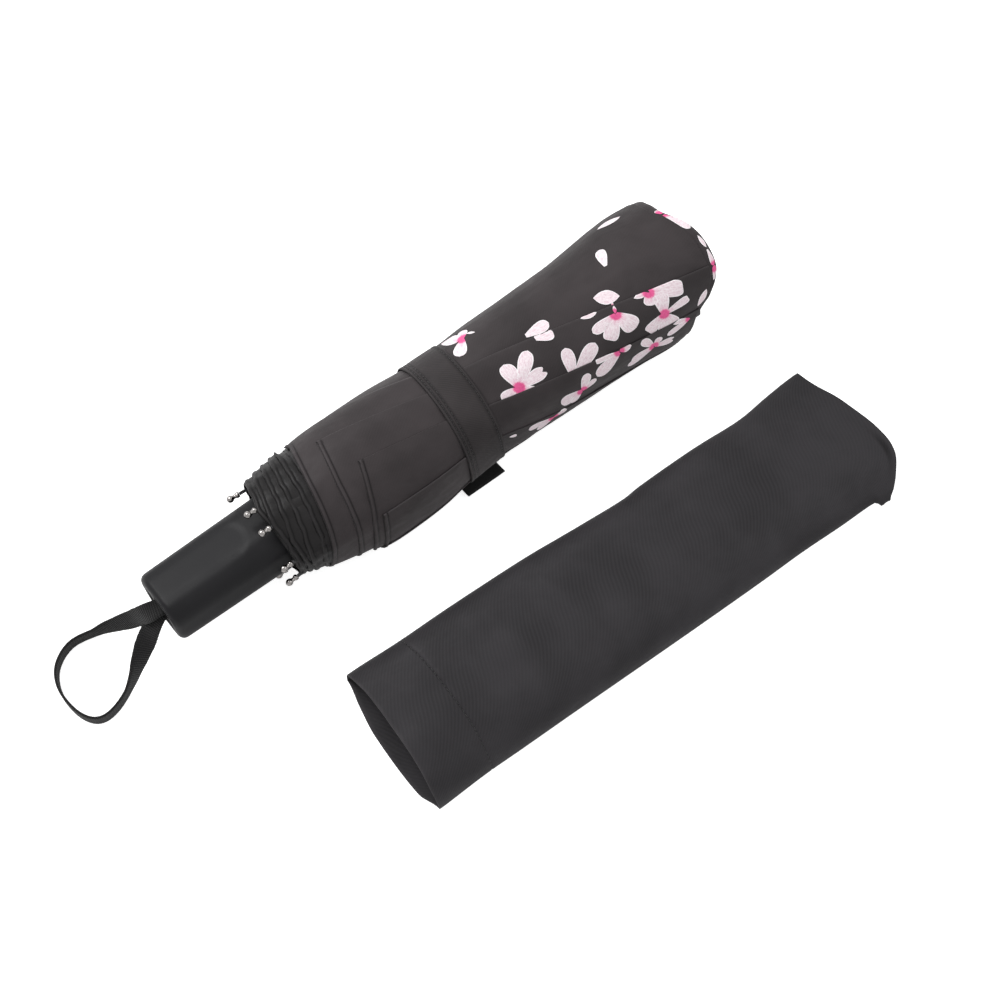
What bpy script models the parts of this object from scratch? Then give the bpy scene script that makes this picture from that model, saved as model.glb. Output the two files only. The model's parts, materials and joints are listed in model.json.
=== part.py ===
"""A three-section folding umbrella, closed, rolled and strapped, with its fabric sleeve lying beside it.

Units are metres and +Z is up. The shaft lies along X, and stations along it are measured from the
handle's end, so the pieces on the shaft are modelled about an empty that stands at the handle's end.
"""

import math

import bmesh
import bpy
from mathutils import Matrix, Vector

MM = 0.001

# Where the umbrella lies: the origin is on the rest surface, this far from the handle's end.
ORIGIN_STATION = 150.0
AXIS_HEIGHT = 28.5

# Shaft tubes: first and last station, bore radius and outer radius.
LOWER_TUBE = (14.3, 232.0, 3.4, 4.0)
MIDDLE_TUBE = (80.0, 240.0, 4.25, 4.7)
TOP_TUBE = (78.0, 266.0, 4.95, 5.4)
MIDDLE_BUSH = (76.5, 79.7, 4.25, 4.7)
TOP_BUSH = (74.0, 77.7, 4.95, 5.9)
TUBE_SIDES = 24

# Frame: eight ribs of three lengths each, and the stretchers that the runner pushes.
RIB_COUNT = 8
FIRST_RIB_ANGLE = 60.0
RIB_HINGE = (262.0, 9.1)
MAIN_RIB_LENGTH = 165.0
MAIN_RIB_LOW, MAIN_RIB_HIGH = 8.1, 10.1
MAIN_RIB_HALF_WIDTH = 1.5
RIB_SHEET = 0.45
EAR_HALF_LENGTH = 1.8
EAR_BELOW_PIVOT = 0.9
WEB_CUT_BACK = 4.0
STRETCHER_PIVOT = (187.0, 7.1)
RUNNER_PIVOT_STATION = 109.0
STRETCHER_HALF_WIDTH = 1.0
STRETCHER_HALF_HEIGHT = 0.7
MIDDLE_RIB_PIVOT = (98.0, 9.55)
MIDDLE_RIB_HALF_WIDTH = 0.5
MIDDLE_RIB_HALF_HEIGHT = 0.55
MIDDLE_RIB_LUG = 0.9
OUTER_RIB_PIVOT = (252.0, 11.2)
OUTER_RIB_HALF = 0.65
OUTER_RIB_FORK = 1.25
TIP_CENTRE = (52.5, 21.5)
TIP_BALL_RADIUS = 1.6
# How far each outer rib's tip leans sideways, in rib order. Less than 0 leans towards the rib before.
TIP_SWAY = (-6.3, 0.0, -6.3, -3.4, -6.3, -6.3, -3.0, -4.0)

# Runner and notch.
SLOT_HALF_WIDTH = 1.8
# Where a ring that no slot cuts has its points, in degrees from each rib.
PLAIN_RING_ANGLES = (21.2, 17.2, 5.7, -5.7, -17.2, -21.2, -22.1, -23.0)
RUNNER_BORE = 5.6
RUNNER_SLEEVE_RADIUS = 5.95
RUNNER_SLOT_BOTTOM = 6.1
RUNNER_FLANGE_RADIUS = 9.6
RUNNER_COLLAR_RADIUS = 8.6
RUNNER_FLANGE_HALF = 2.2
RUNNER_COLLAR = (20.0, 24.0)
NOTCH_STATIONS = (259.5, 264.5, 266.0)
NOTCH_BORE = 5.7
NOTCH_RADIUS = 10.9
NOTCH_SLOT_BOTTOM = 7.4
NOTCH_COLLAR_RADIUS = 7.0

# Handle.
HANDLE_LENGTH = 73.5
HANDLE_HALF_WIDTH = (16.0, 16.7)
HANDLE_HALF_HEIGHT = (13.6, 14.2)
HANDLE_TILT = 16.0
HANDLE_CORNER = 8.5
HANDLE_END_ROUND = 3.2
HANDLE_BORE = 4.3
POCKET_DEPTH = 13.0
POCKET_HALF = (9.3, 5.7)
CAP_STATIONS = (0.5, 12.6)
CAP_HALF = (9.0, 5.4)
CAP_SLOT_HALF = (5.4, 3.2)
PIN_STATION = 6.0
PIN_RADIUS = 1.0
PIN_HALF_LENGTH = 5.1

# Wrist loop: flat webbing standing on its edge on the floor. It bends where it leaves the handle, so
# that is where it is parted from the stub that goes round the pin.
LOOP_WIDTH = 9.0
LOOP_THICKNESS = 1.2
LOOP_PIN_GAP = 0.3
LOOP_PARTING = 0.05

# Rolled canopy: its stations, outer radius, and the bore that the frame lies in.
ROLL_STATIONS = (60.0, 280.0)
ROLL_RADIUS = 28.6
ROLL_END_RADIUS = 25.0
ROLL_WAIST_RADIUS = 27.2
ROLL_BORE_AT_TOP = 13.3
ROLL_BORE_SLOPE = 0.0542
ROLL_SAG = 0.9
ROLL_SIDES = 40
STRAP_STATIONS = (146.5, 166.0)
STRAP_CLEARANCE = 0.3
STRAP_THICKNESS = 1.0
TAB_STATIONS = (143.5, 164.0)
TAB_HINGE_Y = -13.0
TAB_END_Y = -30.5
TAB_THICKNESS = 1.2

# Sleeve, lying flat beside the umbrella, its mouth towards the handle.
SLEEVE_STATIONS = (46.0, 306.0)
SLEEVE_CENTRE_Y = -104.5
SLEEVE_HALF_WIDTH = (35.5, 31.5)
SLEEVE_MOUTH_HEIGHT = 19.0
SLEEVE_END_HEIGHT = 9.0
SLEEVE_WALL = 1.1


def clear_scene():
    for obj in list(bpy.data.objects):
        bpy.data.objects.remove(obj)


def material(name, colour, roughness, metallic=0.0):
    made = bpy.data.materials.new(name)
    made.use_nodes = True
    shader = made.node_tree.nodes["Principled BSDF"]
    shader.inputs["Base Color"].default_value = (*colour, 1.0)
    shader.inputs["Roughness"].default_value = roughness
    shader.inputs["Metallic"].default_value = metallic
    made.diffuse_color = (*colour, 1.0)
    return made


def empty(name, place, parent=None):
    made = bpy.data.objects.new(name, None)
    made.location = [c * MM for c in place]
    made.parent = parent
    bpy.context.scene.collection.objects.link(made)
    return made


def add(name, mesh, finish, parent=None, place=(0.0, 0.0, 0.0), turn=(0.0, 0.0, 0.0), smooth=35.0):
    """An object of this mesh, which is in millimetres until here and may be shared by several objects."""
    made = bpy.data.objects.new(name, mesh)
    made.location = [c * MM for c in place]
    made.rotation_euler = turn
    made.parent = parent
    if not mesh.materials:
        mesh.transform(Matrix.Scale(MM, 4))
        mesh.materials.append(finish)
        mesh.shade_smooth()
        mesh.set_sharp_from_angle(angle=math.radians(smooth))
    bpy.context.scene.collection.objects.link(made)
    return made


def finished(work, name):
    bmesh.ops.recalc_face_normals(work, faces=work.faces)
    mesh = bpy.data.meshes.new(name)
    work.to_mesh(mesh)
    work.free()
    return mesh


def loft(name, rings, closed=False):
    """A skin over rings of equal length. A closed one joins its last ring to its first, as on a tube."""
    work = bmesh.new()
    rows = [[work.verts.new(p) for p in ring] for ring in rings]
    pairs = list(zip(rows, rows[1:])) + ([(rows[-1], rows[0])] if closed else [])
    for low, high in pairs:
        for i in range(len(low)):
            j = (i + 1) % len(low)
            work.faces.new((low[i], low[j], high[j], high[i]))
    if not closed:
        work.faces.new(rows[0])
        work.faces.new(rows[-1])
    return finished(work, name)


def circle(station, radius, sides, start=0.0):
    """A ring round the shaft. Its angle is counted from straight up towards +Y."""
    turns = [start + math.tau * i / sides for i in range(sides)]
    return [(station, radius * math.sin(t), radius * math.cos(t)) for t in turns]


def turned(name, profile, sides, closed=False):
    return loft(name, [circle(x, r, sides) for x, r in profile], closed)


def tube(name, first, last, bore, outer, sides=TUBE_SIDES):
    return turned(name, [(first, bore), (first, outer), (last, outer), (last, bore)], sides, True)


def upright_plate(name, outline, half):
    """A plate in the plane of x and z: an outline of (x, z) points, thickened both ways along y."""
    return loft(name, [[(x, side, z) for x, z in outline] for side in (-half, half)])


def level_plate(name, outline, half):
    """A plate in the plane of x and y: an outline of (x, y) points, thickened both ways along z."""
    return loft(name, [[(x, y, side) for x, y in outline] for side in (-half, half)])


def arc(centre, radius, first, last, steps):
    """Points on a circle from one angle in degrees to another."""
    turns = [math.radians(first + (last - first) * i / steps) for i in range(steps + 1)]
    return [(centre[0] + radius * math.cos(t), centre[1] + radius * math.sin(t)) for t in turns]


# Frame pieces. Each is modelled in its rib's own plane, x along the shaft and z outwards, about its hinge.


def main_rib_mesh():
    """A channel that opens outwards, with two ears for the stretcher's pivot and its web cut back."""
    low = MAIN_RIB_LOW - RIB_HINGE[1]
    high = MAIN_RIB_HIGH - RIB_HINGE[1]
    web = low + RIB_SHEET
    wide = MAIN_RIB_HALF_WIDTH
    inner = wide - RIB_SHEET
    section = [(-wide, high), (-wide, low), (-inner, low), (inner, low), (wide, low)]
    section += [(wide, high), (inner, high), (inner, web), (-inner, web), (-inner, high)]
    pivot = STRETCHER_PIVOT[0] - RIB_HINGE[0]
    reach = STRETCHER_PIVOT[1] - RIB_HINGE[1] - EAR_BELOW_PIVOT - low
    past_hinge = 0.9
    web_end = WEB_CUT_BACK - MAIN_RIB_LENGTH
    work = bmesh.new()
    rows = []
    for station in (past_hinge, pivot + EAR_HALF_LENGTH, pivot - EAR_HALF_LENGTH, web_end):
        rows.append([work.verts.new((station, y, z)) for y, z in section])
    for near, far in zip(rows, rows[1:]):
        for i in range(len(section)):
            j = (i + 1) % len(section)
            work.faces.new((near[i], near[j], far[j], far[i]))
    work.faces.new(rows[0])
    last = rows[-1]
    work.faces.new((last[2], last[3], last[7], last[8]))
    for wall in ((0, 1, 2, 8, 9), (3, 4, 5, 6, 7)):
        start = [last[i] for i in wall]
        end = [work.verts.new((-MAIN_RIB_LENGTH, *section[i])) for i in wall]
        for i in range(len(wall)):
            j = (i + 1) % len(wall)
            work.faces.new((start[i], start[j], end[j], end[i]))
        work.faces.new(end)
    bmesh.ops.recalc_face_normals(work, faces=work.faces)
    for side in (-1, 1):
        middle = Vector((pivot, side * wide, 0.0))
        flank = [f for f in work.faces if (f.calc_center_median() - middle).length < 0.3]
        block = bmesh.ops.extrude_discrete_faces(work, faces=flank)["faces"][0]
        bmesh.ops.translate(work, verts=block.verts, vec=(0.0, side * RIB_SHEET, 0.0))
        outside = [f for f in work.faces if f.calc_center_median().y * side > wide]
        under = [f for f in outside if f.normal.z < -0.9]
        ear = bmesh.ops.extrude_discrete_faces(work, faces=under)["faces"][0]
        bmesh.ops.translate(work, verts=ear.verts, vec=(0.0, 0.0, reach))
        bmesh.ops.recalc_face_normals(work, faces=work.faces)
    return finished(work, "main_rib")


def stretcher_mesh():
    length = stretcher_length()
    half = STRETCHER_HALF_HEIGHT
    outline = arc((0.0, 0.0), half, 90.0, -90.0, 5) + arc((-length, 0.0), half, -90.0, -270.0, 5)
    return upright_plate("stretcher", outline, STRETCHER_HALF_WIDTH)


def middle_rib_mesh():
    """A flat bar with a round lug at its far end, which the outer rib turns on."""
    half = MIDDLE_RIB_HALF_HEIGHT
    reach = OUTER_RIB_PIVOT[0] - MIDDLE_RIB_PIVOT[0]
    rise = OUTER_RIB_PIVOT[1] - MIDDLE_RIB_PIVOT[1]
    lug = MIDDLE_RIB_LUG
    end = reach + 1.6
    outline = arc((0.0, 0.0), half, 90.0, 270.0, 6)
    outline += [(end, -half), (end, half), (reach + lug, half + 0.3)]
    outline += arc((reach, rise), lug, 0.0, 180.0, 6)
    outline += [(reach - lug, half)]
    return upright_plate("middle_rib", outline, MIDDLE_RIB_HALF_WIDTH)


def outer_rib_length():
    return math.hypot(TIP_CENTRE[0] - OUTER_RIB_PIVOT[0], TIP_CENTRE[1] - OUTER_RIB_PIVOT[1])


def outer_rib_mesh():
    """A wire with a fork at its hinge. It runs along -x here, and its object's turn slopes it outwards."""
    half = OUTER_RIB_HALF
    fork = OUTER_RIB_FORK
    slot = MIDDLE_RIB_HALF_WIDTH + 0.25
    near, root, neck, thin = 0.6, -1.5, -2.4, -3.4
    end = -(outer_rib_length() - 4.6)
    side = [(near, slot), (near, fork), (neck, fork), (thin, half), (end, half)]
    other_side = [(x, -y) for x, y in side[::-1]]
    outline = [(root, slot), *side, *other_side, (root, -slot)]
    return level_plate("outer_rib", outline, half)


def rib_tip_mesh():
    """Collar, neck and ball, the ball at the outer rib's free end."""
    ball = TIP_BALL_RADIUS
    profile = [(4.3, 0.5), (4.3, 1.3), (3.0, 1.3), (2.6, 0.7)]
    for step in range(7):
        turn = math.radians(32.0 + 24.0 * step)
        profile.append((ball * math.cos(turn), ball * math.sin(turn)))
    return turned("rib_tip", profile, 10)


def hub_ring(station, radius, slot_radius=None):
    """A ring cut by a slot at each rib, or a plain one with its points beside a slotted one's."""
    pitch = math.tau / RIB_COUNT
    if slot_radius is None:
        spots = [(math.radians(t), radius) for t in PLAIN_RING_ANGLES]
    else:
        out = math.asin(SLOT_HALF_WIDTH / radius)
        deep = math.asin(SLOT_HALF_WIDTH / slot_radius)
        land = (pitch - 2 * out) / 3
        spots = [(out, radius), (deep, slot_radius), (deep / 3, slot_radius)]
        spots += [(-deep / 3, slot_radius), (-deep, slot_radius), (-out, radius)]
        spots += [(-out - land, radius), (-out - 2 * land, radius)]
    ring = []
    for rib in range(RIB_COUNT):
        centre = math.radians(FIRST_RIB_ANGLE) - rib * pitch
        ring += [(station, r * math.sin(centre + t), r * math.cos(centre + t)) for t, r in spots]
    return ring


def hub(name, sections):
    """A bored hub with a slot for each rib, from rows of station, radius and, where slotted, slot radius."""
    return loft(name, [hub_ring(*section) for section in sections], closed=True)


def runner_mesh():
    """Measured from the stretchers' pivot: a slotted flange, a thin sleeve and a slotted collar."""
    flange = RUNNER_FLANGE_HALF
    near, far = RUNNER_COLLAR
    sleeve = RUNNER_SLEEVE_RADIUS
    sections = [
        (-far, RUNNER_BORE),
        (-far, RUNNER_COLLAR_RADIUS, RUNNER_SLOT_BOTTOM),
        (-near, RUNNER_COLLAR_RADIUS, RUNNER_SLOT_BOTTOM),
        (-near, sleeve),
        (-flange, sleeve),
        (-flange, RUNNER_FLANGE_RADIUS, RUNNER_SLOT_BOTTOM),
        (flange, RUNNER_FLANGE_RADIUS, RUNNER_SLOT_BOTTOM),
        (flange, RUNNER_BORE),
    ]
    return hub("runner", sections)


def notch_mesh():
    near, far, back = NOTCH_STATIONS
    collar = NOTCH_COLLAR_RADIUS
    sections = [
        (near, NOTCH_BORE),
        (near, NOTCH_RADIUS, NOTCH_SLOT_BOTTOM),
        (far, NOTCH_RADIUS, NOTCH_SLOT_BOTTOM),
        (far, collar),
        (back, collar),
        (back, NOTCH_BORE),
    ]
    return hub("top_notch", sections)


def stretcher_length():
    """The length whose runner end stands in the runner's pivot at rest."""
    return STRETCHER_PIVOT[0] - RUNNER_PIVOT_STATION


def make_frame(shaft, steel, dark):
    add("runner", runner_mesh(), dark, shaft, (RUNNER_PIVOT_STATION, 0.0, 0.0))
    add("top_notch", notch_mesh(), dark, shaft)
    cap = [(266.4, 3.0), (266.4, 8.6), (268.0, 9.0), (274.0, 8.0), (276.0, 5.5)]
    add("ferrule_cap", turned("ferrule_cap", cap, 20), dark, shaft)
    meshes = {
        "main_rib": main_rib_mesh(),
        "stretcher": stretcher_mesh(),
        "middle_rib": middle_rib_mesh(),
        "outer_rib": outer_rib_mesh(),
        "rib_tip": rib_tip_mesh(),
    }
    hinges = {
        "main_rib": RIB_HINGE,
        "stretcher": STRETCHER_PIVOT,
        "middle_rib": MIDDLE_RIB_PIVOT,
        "outer_rib": OUTER_RIB_PIVOT,
    }
    slope = math.atan2(TIP_CENTRE[1] - OUTER_RIB_PIVOT[1], OUTER_RIB_PIVOT[0] - TIP_CENTRE[0])
    for rib in range(RIB_COUNT):
        angle = math.radians(FIRST_RIB_ANGLE - 360.0 / RIB_COUNT * rib)
        sway = math.asin(TIP_SWAY[rib] / outer_rib_length())
        plane = Matrix.Rotation(-angle, 4, "X")
        for kind, (station, out) in hinges.items():
            place = plane @ Vector((station, 0.0, out))
            turn = plane
            if kind == "outer_rib":
                turn = plane @ Matrix.Rotation(slope, 4, "Y") @ Matrix.Rotation(sway, 4, "Z")
            add(f"{kind}_{rib + 1}", meshes[kind], steel, shaft, place, turn.to_euler())
        ball = turn @ Vector((-outer_rib_length(), 0.0, 0.0)) + place
        add(f"rib_tip_{rib + 1}", meshes["rib_tip"], steel, shaft, ball, turn.to_euler())


# Handle and wrist loop.


def handle_section(station, half_width, half_height, corner, steps=4):
    """A rounded rectangle about the shaft, turned by the handle's tilt."""
    ring = []
    centres = ((1, 1, 0.0), (-1, 1, 90.0), (-1, -1, 180.0), (1, -1, 270.0))
    for side_y, side_z, start in centres:
        centre = (side_y * (half_width - corner), side_z * (half_height - corner))
        ring += arc(centre, corner, start, start + 90.0, steps)
    tilt = math.radians(-HANDLE_TILT)
    c, s = math.cos(tilt), math.sin(tilt)
    return [(station, y * c - z * s, y * s + z * c) for y, z in ring]


def handle_mesh():
    """The grip: an outer shell with rounded end, a square pocket for the end cap and a bore for the tube."""
    wide, high = HANDLE_HALF_WIDTH, HANDLE_HALF_HEIGHT
    rings = []
    for station in (HANDLE_LENGTH, 62.0, 40.0, 20.0, 8.0):
        share = station / HANDLE_LENGTH
        width = wide[0] + (wide[1] - wide[0]) * share
        height = high[0] + (high[1] - high[0]) * share
        rings.append(handle_section(station, width, height, HANDLE_CORNER))
    for step in range(4):
        turn = math.radians(30.0 * step)
        inset = HANDLE_END_ROUND * (1 - math.cos(turn))
        station = HANDLE_END_ROUND * (1 - math.sin(turn))
        ring = handle_section(station, wide[0] - inset, high[0] - inset, HANDLE_CORNER - inset)
        rings.append(ring)
    pocket_wide, pocket_high = POCKET_HALF
    rings.append(handle_section(0.0, pocket_wide, pocket_high, 1.0))
    rings.append(handle_section(POCKET_DEPTH, pocket_wide, pocket_high, 1.0))
    rings += [bore_ring(station, len(rings[0])) for station in (POCKET_DEPTH, HANDLE_LENGTH)]
    return loft("handle_grip", rings, closed=True)


def bore_ring(station, count):
    """Points of the handle's bore, spread evenly, each one near the outer ring's point of that number."""
    first = math.radians(13.0 - HANDLE_TILT)
    turns = [first + math.tau * i / count for i in range(count)]
    return [(station, HANDLE_BORE * math.cos(t), HANDLE_BORE * math.sin(t)) for t in turns]


def end_cap_mesh():
    near, far = CAP_STATIONS
    rings = []
    for station, half in ((near, CAP_SLOT_HALF), (near, CAP_HALF), (far, CAP_HALF), (far, CAP_SLOT_HALF)):
        rings.append(handle_section(station, half[0], half[1], 0.8, 2))
    return loft("handle_end_cap", rings, closed=True)


def on_curve(points, place):
    """A point on the closed Catmull-Rom curve through the points. Whole places are the points themselves."""
    first = math.floor(place)
    t = place - first
    a, b, c, d = (Vector(points[(first + k) % len(points)]) for k in (-1, 0, 1, 2))
    pull = (c - a) * t + (2 * a - 5 * b + 4 * c - d) * t**2 + (3 * b - a - 3 * c + d) * t**3
    return b + pull / 2


def loop_route():
    """The webbing's way: round the pin, out of the handle's end, down, and round on its edge on the floor.

    Each point is followed by how far the webbing has turned from lying flat to standing on its edge.
    """
    floor = LOOP_WIDTH / 2 - AXIS_HEIGHT
    bend = PIN_RADIUS + LOOP_PIN_GAP + LOOP_THICKNESS / 2
    pin = PIN_STATION
    aside = bend * math.sin(math.radians(HANDLE_TILT))
    up = bend * math.cos(math.radians(HANDLE_TILT))
    return [
        ((pin + bend, 0.0, 0.0), 0.0),
        ((pin, aside, up), 0.0),
        ((0.0, aside, up), 0.0),
        ((-6.0, 2.6, -1.5), 0.2),
        ((-13.0, 8.2, -12.0), 0.6),
        ((-25.5, 16.0, floor + 0.9), 0.97),
        ((-38.5, 17.0, floor), 1.0),
        ((-48.3, 11.0, floor), 1.0),
        ((-53.2, 1.5, floor), 1.0),
        ((-53.6, -9.5, floor), 1.0),
        ((-48.7, -17.3, floor), 1.0),
        ((-40.5, -18.3, floor), 1.0),
        ((-28.8, -13.6, floor + 0.9), 0.97),
        ((-15.0, -6.0, -13.0), 0.6),
        ((-6.5, -2.2, -6.0), 0.2),
        ((0.0, -aside, -up), 0.0),
        ((pin, -aside, -up), 0.0),
    ]


def webbing_mesh(name, first, last, per_span=3):
    """The stretch of webbing between two places on its route."""
    route = loop_route()
    centres = [p for p, _ in route]
    turns = [(t, 0.0, 0.0) for _, t in route]
    steps = round((last - first) * per_span)
    small = 0.1
    rings = []
    for step in range(steps + 1):
        place = first + (last - first) * step / steps
        point = on_curve(centres, place)
        along = (on_curve(centres, place + small) - on_curve(centres, place - small)).normalized()
        turn = min(max(on_curve(turns, place).x, 0.0), 1.0)
        lean = math.radians((90.0 + HANDLE_TILT) * turn - HANDLE_TILT)
        width = Vector((0.0, math.cos(lean), math.sin(lean)))
        width = (width - along * width.dot(along)).normalized()
        face = along.cross(width)
        w, t = width * LOOP_WIDTH / 2, face * LOOP_THICKNESS / 2
        ring = [point + w + t, point - w + t, point - w - t, point + w - t]
        rings.append([(p.x, p.y, max(p.z, -AXIS_HEIGHT)) for p in ring])
    return loft(name, rings)


# Soft goods: plain closed solids of the right size.


def waist(station):
    """1 under the strap, falling to 0 a little way to each side of it."""
    middle = sum(STRAP_STATIONS) / 2
    beyond = max(0.0, abs(station - middle) - 13.0)
    return max(0.0, 1.0 - beyond / 14.0) ** 2


def roll_radius(station, turn):
    """The rolled canopy's outer radius, at an angle counted from straight up towards +Y."""
    first = ROLL_STATIONS[0]
    if station < 82.0:
        share = (station - first) / (82.0 - first)
        radius = ROLL_END_RADIUS + (ROLL_RADIUS - ROLL_END_RADIUS) * math.sin(share * math.pi / 2)
    else:
        radius = ROLL_RADIUS
    radius -= (ROLL_RADIUS - ROLL_WAIST_RADIUS) * waist(station)
    flare = math.exp(-(((station - 248.0) / 22.0) ** 2)) * max(0.0, math.sin(turn))
    return radius + 2.0 * flare


def roll_ring(station):
    """A section of the roll, pressed flat where it lies on the floor."""
    ring = []
    for i in range(ROLL_SIDES):
        turn = math.tau * i / ROLL_SIDES
        radius = roll_radius(station, turn)
        down = max(0.0, -math.cos(turn) - 0.88) / 0.12 * (1.0 - waist(station))
        z = max(radius * math.cos(turn) - ROLL_SAG * down, -AXIS_HEIGHT)
        ring.append((station, radius * math.sin(turn), z))
    return ring


def roll_bore(station):
    return ROLL_BORE_AT_TOP + max(0.0, 252.0 - station) * ROLL_BORE_SLOPE


def canopy_mesh():
    first, last = ROLL_STATIONS
    stations = [first, 68.0, 75.0, 82.0, 110.0, 132.0, 144.0, 169.0, 181.0, 215.0, 235.0, 255.0, last]
    rings = [roll_ring(s) for s in stations]
    rings.append(circle(last, roll_bore(252.0) + 8.5, ROLL_SIDES))
    rings.append(circle(last - 6.0, roll_bore(252.0) + 6.0, ROLL_SIDES))
    rings += [circle(s, roll_bore(s), ROLL_SIDES) for s in (258.0, 252.0, first)]
    return loft("canopy_roll", rings, closed=True)


def strap_mesh():
    """A band round the waist of the roll. Its underside is pressed flat on the floor."""
    inner = ROLL_WAIST_RADIUS + STRAP_CLEARANCE
    outer = inner + STRAP_THICKNESS
    pairs = []
    for station in STRAP_STATIONS:
        outside = []
        for x, y, z in circle(station, outer, ROLL_SIDES):
            down = max(0.0, -z / outer - 0.88) / 0.12
            outside.append((x, y, max(z - ROLL_SAG * down, -AXIS_HEIGHT)))
        pairs.append((circle(station, inner, ROLL_SIDES), outside))
    (near_inside, near_outside), (far_inside, far_outside) = pairs
    return loft("closure_strap", [near_inside, near_outside, far_outside, far_inside], closed=True)


def tab_mesh():
    """The strap's loose end, on the floor, its last part curling up a little, modelled about its hinge."""
    length = TAB_HINGE_Y - TAB_END_Y
    first, last = (s - ORIGIN_STATION for s in TAB_STATIONS)
    lower = []
    upper = []
    for step in range(7):
        share = step / 6
        curl = 2.2 * max(0.0, share - 0.45) ** 2
        lower.append((-length * share, curl * 4))
        upper.append((-length * share, curl * 4 + TAB_THICKNESS))
    outline = lower + upper[::-1]
    rings = [[(x, y, z) for y, z in outline] for x in (first, last)]
    return loft("strap_tab", rings)


def sleeve_ring(station, inset, half_sides=9):
    """A section of the flattened bag: flat below, arched above, with its two side folds."""
    first, last = SLEEVE_STATIONS
    share = (station - first) / (last - first)
    end = max(0.0, (share - 0.86) / 0.14)
    wide = SLEEVE_HALF_WIDTH[0] + (SLEEVE_HALF_WIDTH[1] - SLEEVE_HALF_WIDTH[0]) * end - inset * 2.0
    tall = SLEEVE_MOUTH_HEIGHT + (SLEEVE_END_HEIGHT - SLEEVE_MOUTH_HEIGHT) * share**0.7 - inset
    ring = []
    for i in range(half_sides + 1):
        y = wide * math.cos(math.pi * i / half_sides)
        arch = (1 - (y / wide) ** 2) ** 0.75
        ring.append((y, inset + 1.4 + (tall - inset - 1.4) * arch))
    for i in range(half_sides + 1):
        y = -wide * math.cos(math.pi * i / half_sides)
        ring.append((y * 0.985, inset))
    return [(station - ORIGIN_STATION, SLEEVE_CENTRE_Y + y, z) for y, z in ring]


def sleeve_mesh():
    first, last = SLEEVE_STATIONS
    outer = [last, 296.0, 270.0, 215.0, 150.0, 95.0, first]
    inner = [first, 95.0, 150.0, 215.0, 270.0, last - 4.0]
    rings = [sleeve_ring(s, 0.0) for s in outer] + [sleeve_ring(s, SLEEVE_WALL) for s in inner]
    return loft("sleeve", rings)


def make_handle(shaft, grip, cap, steel, webbing):
    add("handle_grip", handle_mesh(), grip, shaft)
    add("handle_end_cap", end_cap_mesh(), cap, shaft)
    ends = [(-PIN_HALF_LENGTH, PIN_RADIUS), (PIN_HALF_LENGTH, PIN_RADIUS)]
    across = Matrix.Rotation(math.radians(-HANDLE_TILT), 4, "X") @ Matrix.Rotation(math.radians(90.0), 4, "Z")
    pin = turned("loop_pin", ends, 12)
    add("loop_pin", pin, steel, shaft, (PIN_STATION, 0.0, 0.0), across.to_euler())
    leaves, returns = 3.0, 14.0
    route_length = len(loop_route())
    stub = webbing_mesh("loop_stub", returns - route_length + LOOP_PARTING, leaves - LOOP_PARTING)
    add("loop_stub", stub, webbing, shaft)
    loop = webbing_mesh("wrist_loop", leaves + LOOP_PARTING, returns - LOOP_PARTING)
    add("wrist_loop", loop, webbing, shaft)


def make_shaft(shaft, steel, dark):
    for name, size in (("lower_tube", LOWER_TUBE), ("middle_tube", MIDDLE_TUBE), ("top_tube", TOP_TUBE)):
        add(name, tube(name, *size), steel, shaft)
    for name, size in (("middle_tube_bush", MIDDLE_BUSH), ("top_tube_bush", TOP_BUSH)):
        add(name, tube(name, *size), dark, shaft)


def make_soft_goods(shaft, cloth, strap, sleeve_cloth):
    add("canopy_roll", canopy_mesh(), cloth, shaft)
    add("closure_strap", strap_mesh(), strap, shaft)
    hinge = empty("tab_hinge", (0.0, TAB_HINGE_Y, 0.0))
    add("strap_tab", tab_mesh(), strap, hinge)
    add("sleeve", sleeve_mesh(), sleeve_cloth)


def main():
    clear_scene()
    cloth = material("canopy_cloth", (0.035, 0.033, 0.034), 0.55)
    strap = material("strap_cloth", (0.028, 0.026, 0.027), 0.6)
    sleeve_cloth = material("sleeve_cloth", (0.03, 0.03, 0.032), 0.6)
    webbing = material("loop_webbing", (0.006, 0.006, 0.006), 0.8)
    grip = material("grip_plastic", (0.035, 0.035, 0.038), 0.5)
    cap = material("cap_plastic", (0.12, 0.115, 0.11), 0.6)
    steel = material("plated_steel", (0.62, 0.62, 0.63), 0.25, 1.0)
    dark = material("black_plastic", (0.02, 0.02, 0.02), 0.4)
    shaft = empty("shaft_axis", (-ORIGIN_STATION, 0.0, AXIS_HEIGHT))
    make_shaft(shaft, steel, dark)
    make_frame(shaft, steel, dark)
    make_handle(shaft, grip, cap, steel, webbing)
    make_soft_goods(shaft, cloth, strap, sleeve_cloth)


main()
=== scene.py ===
"""Looks of a folding umbrella that lies closed beside its sleeve.

Stations along the shaft are millimetres from the handle's end. Angles round the shaft are degrees from
straight up towards +Y. Everything is turned into metres in the frame as it is built.
"""

import json
import math

import bmesh
import bpy
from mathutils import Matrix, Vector, noise


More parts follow.
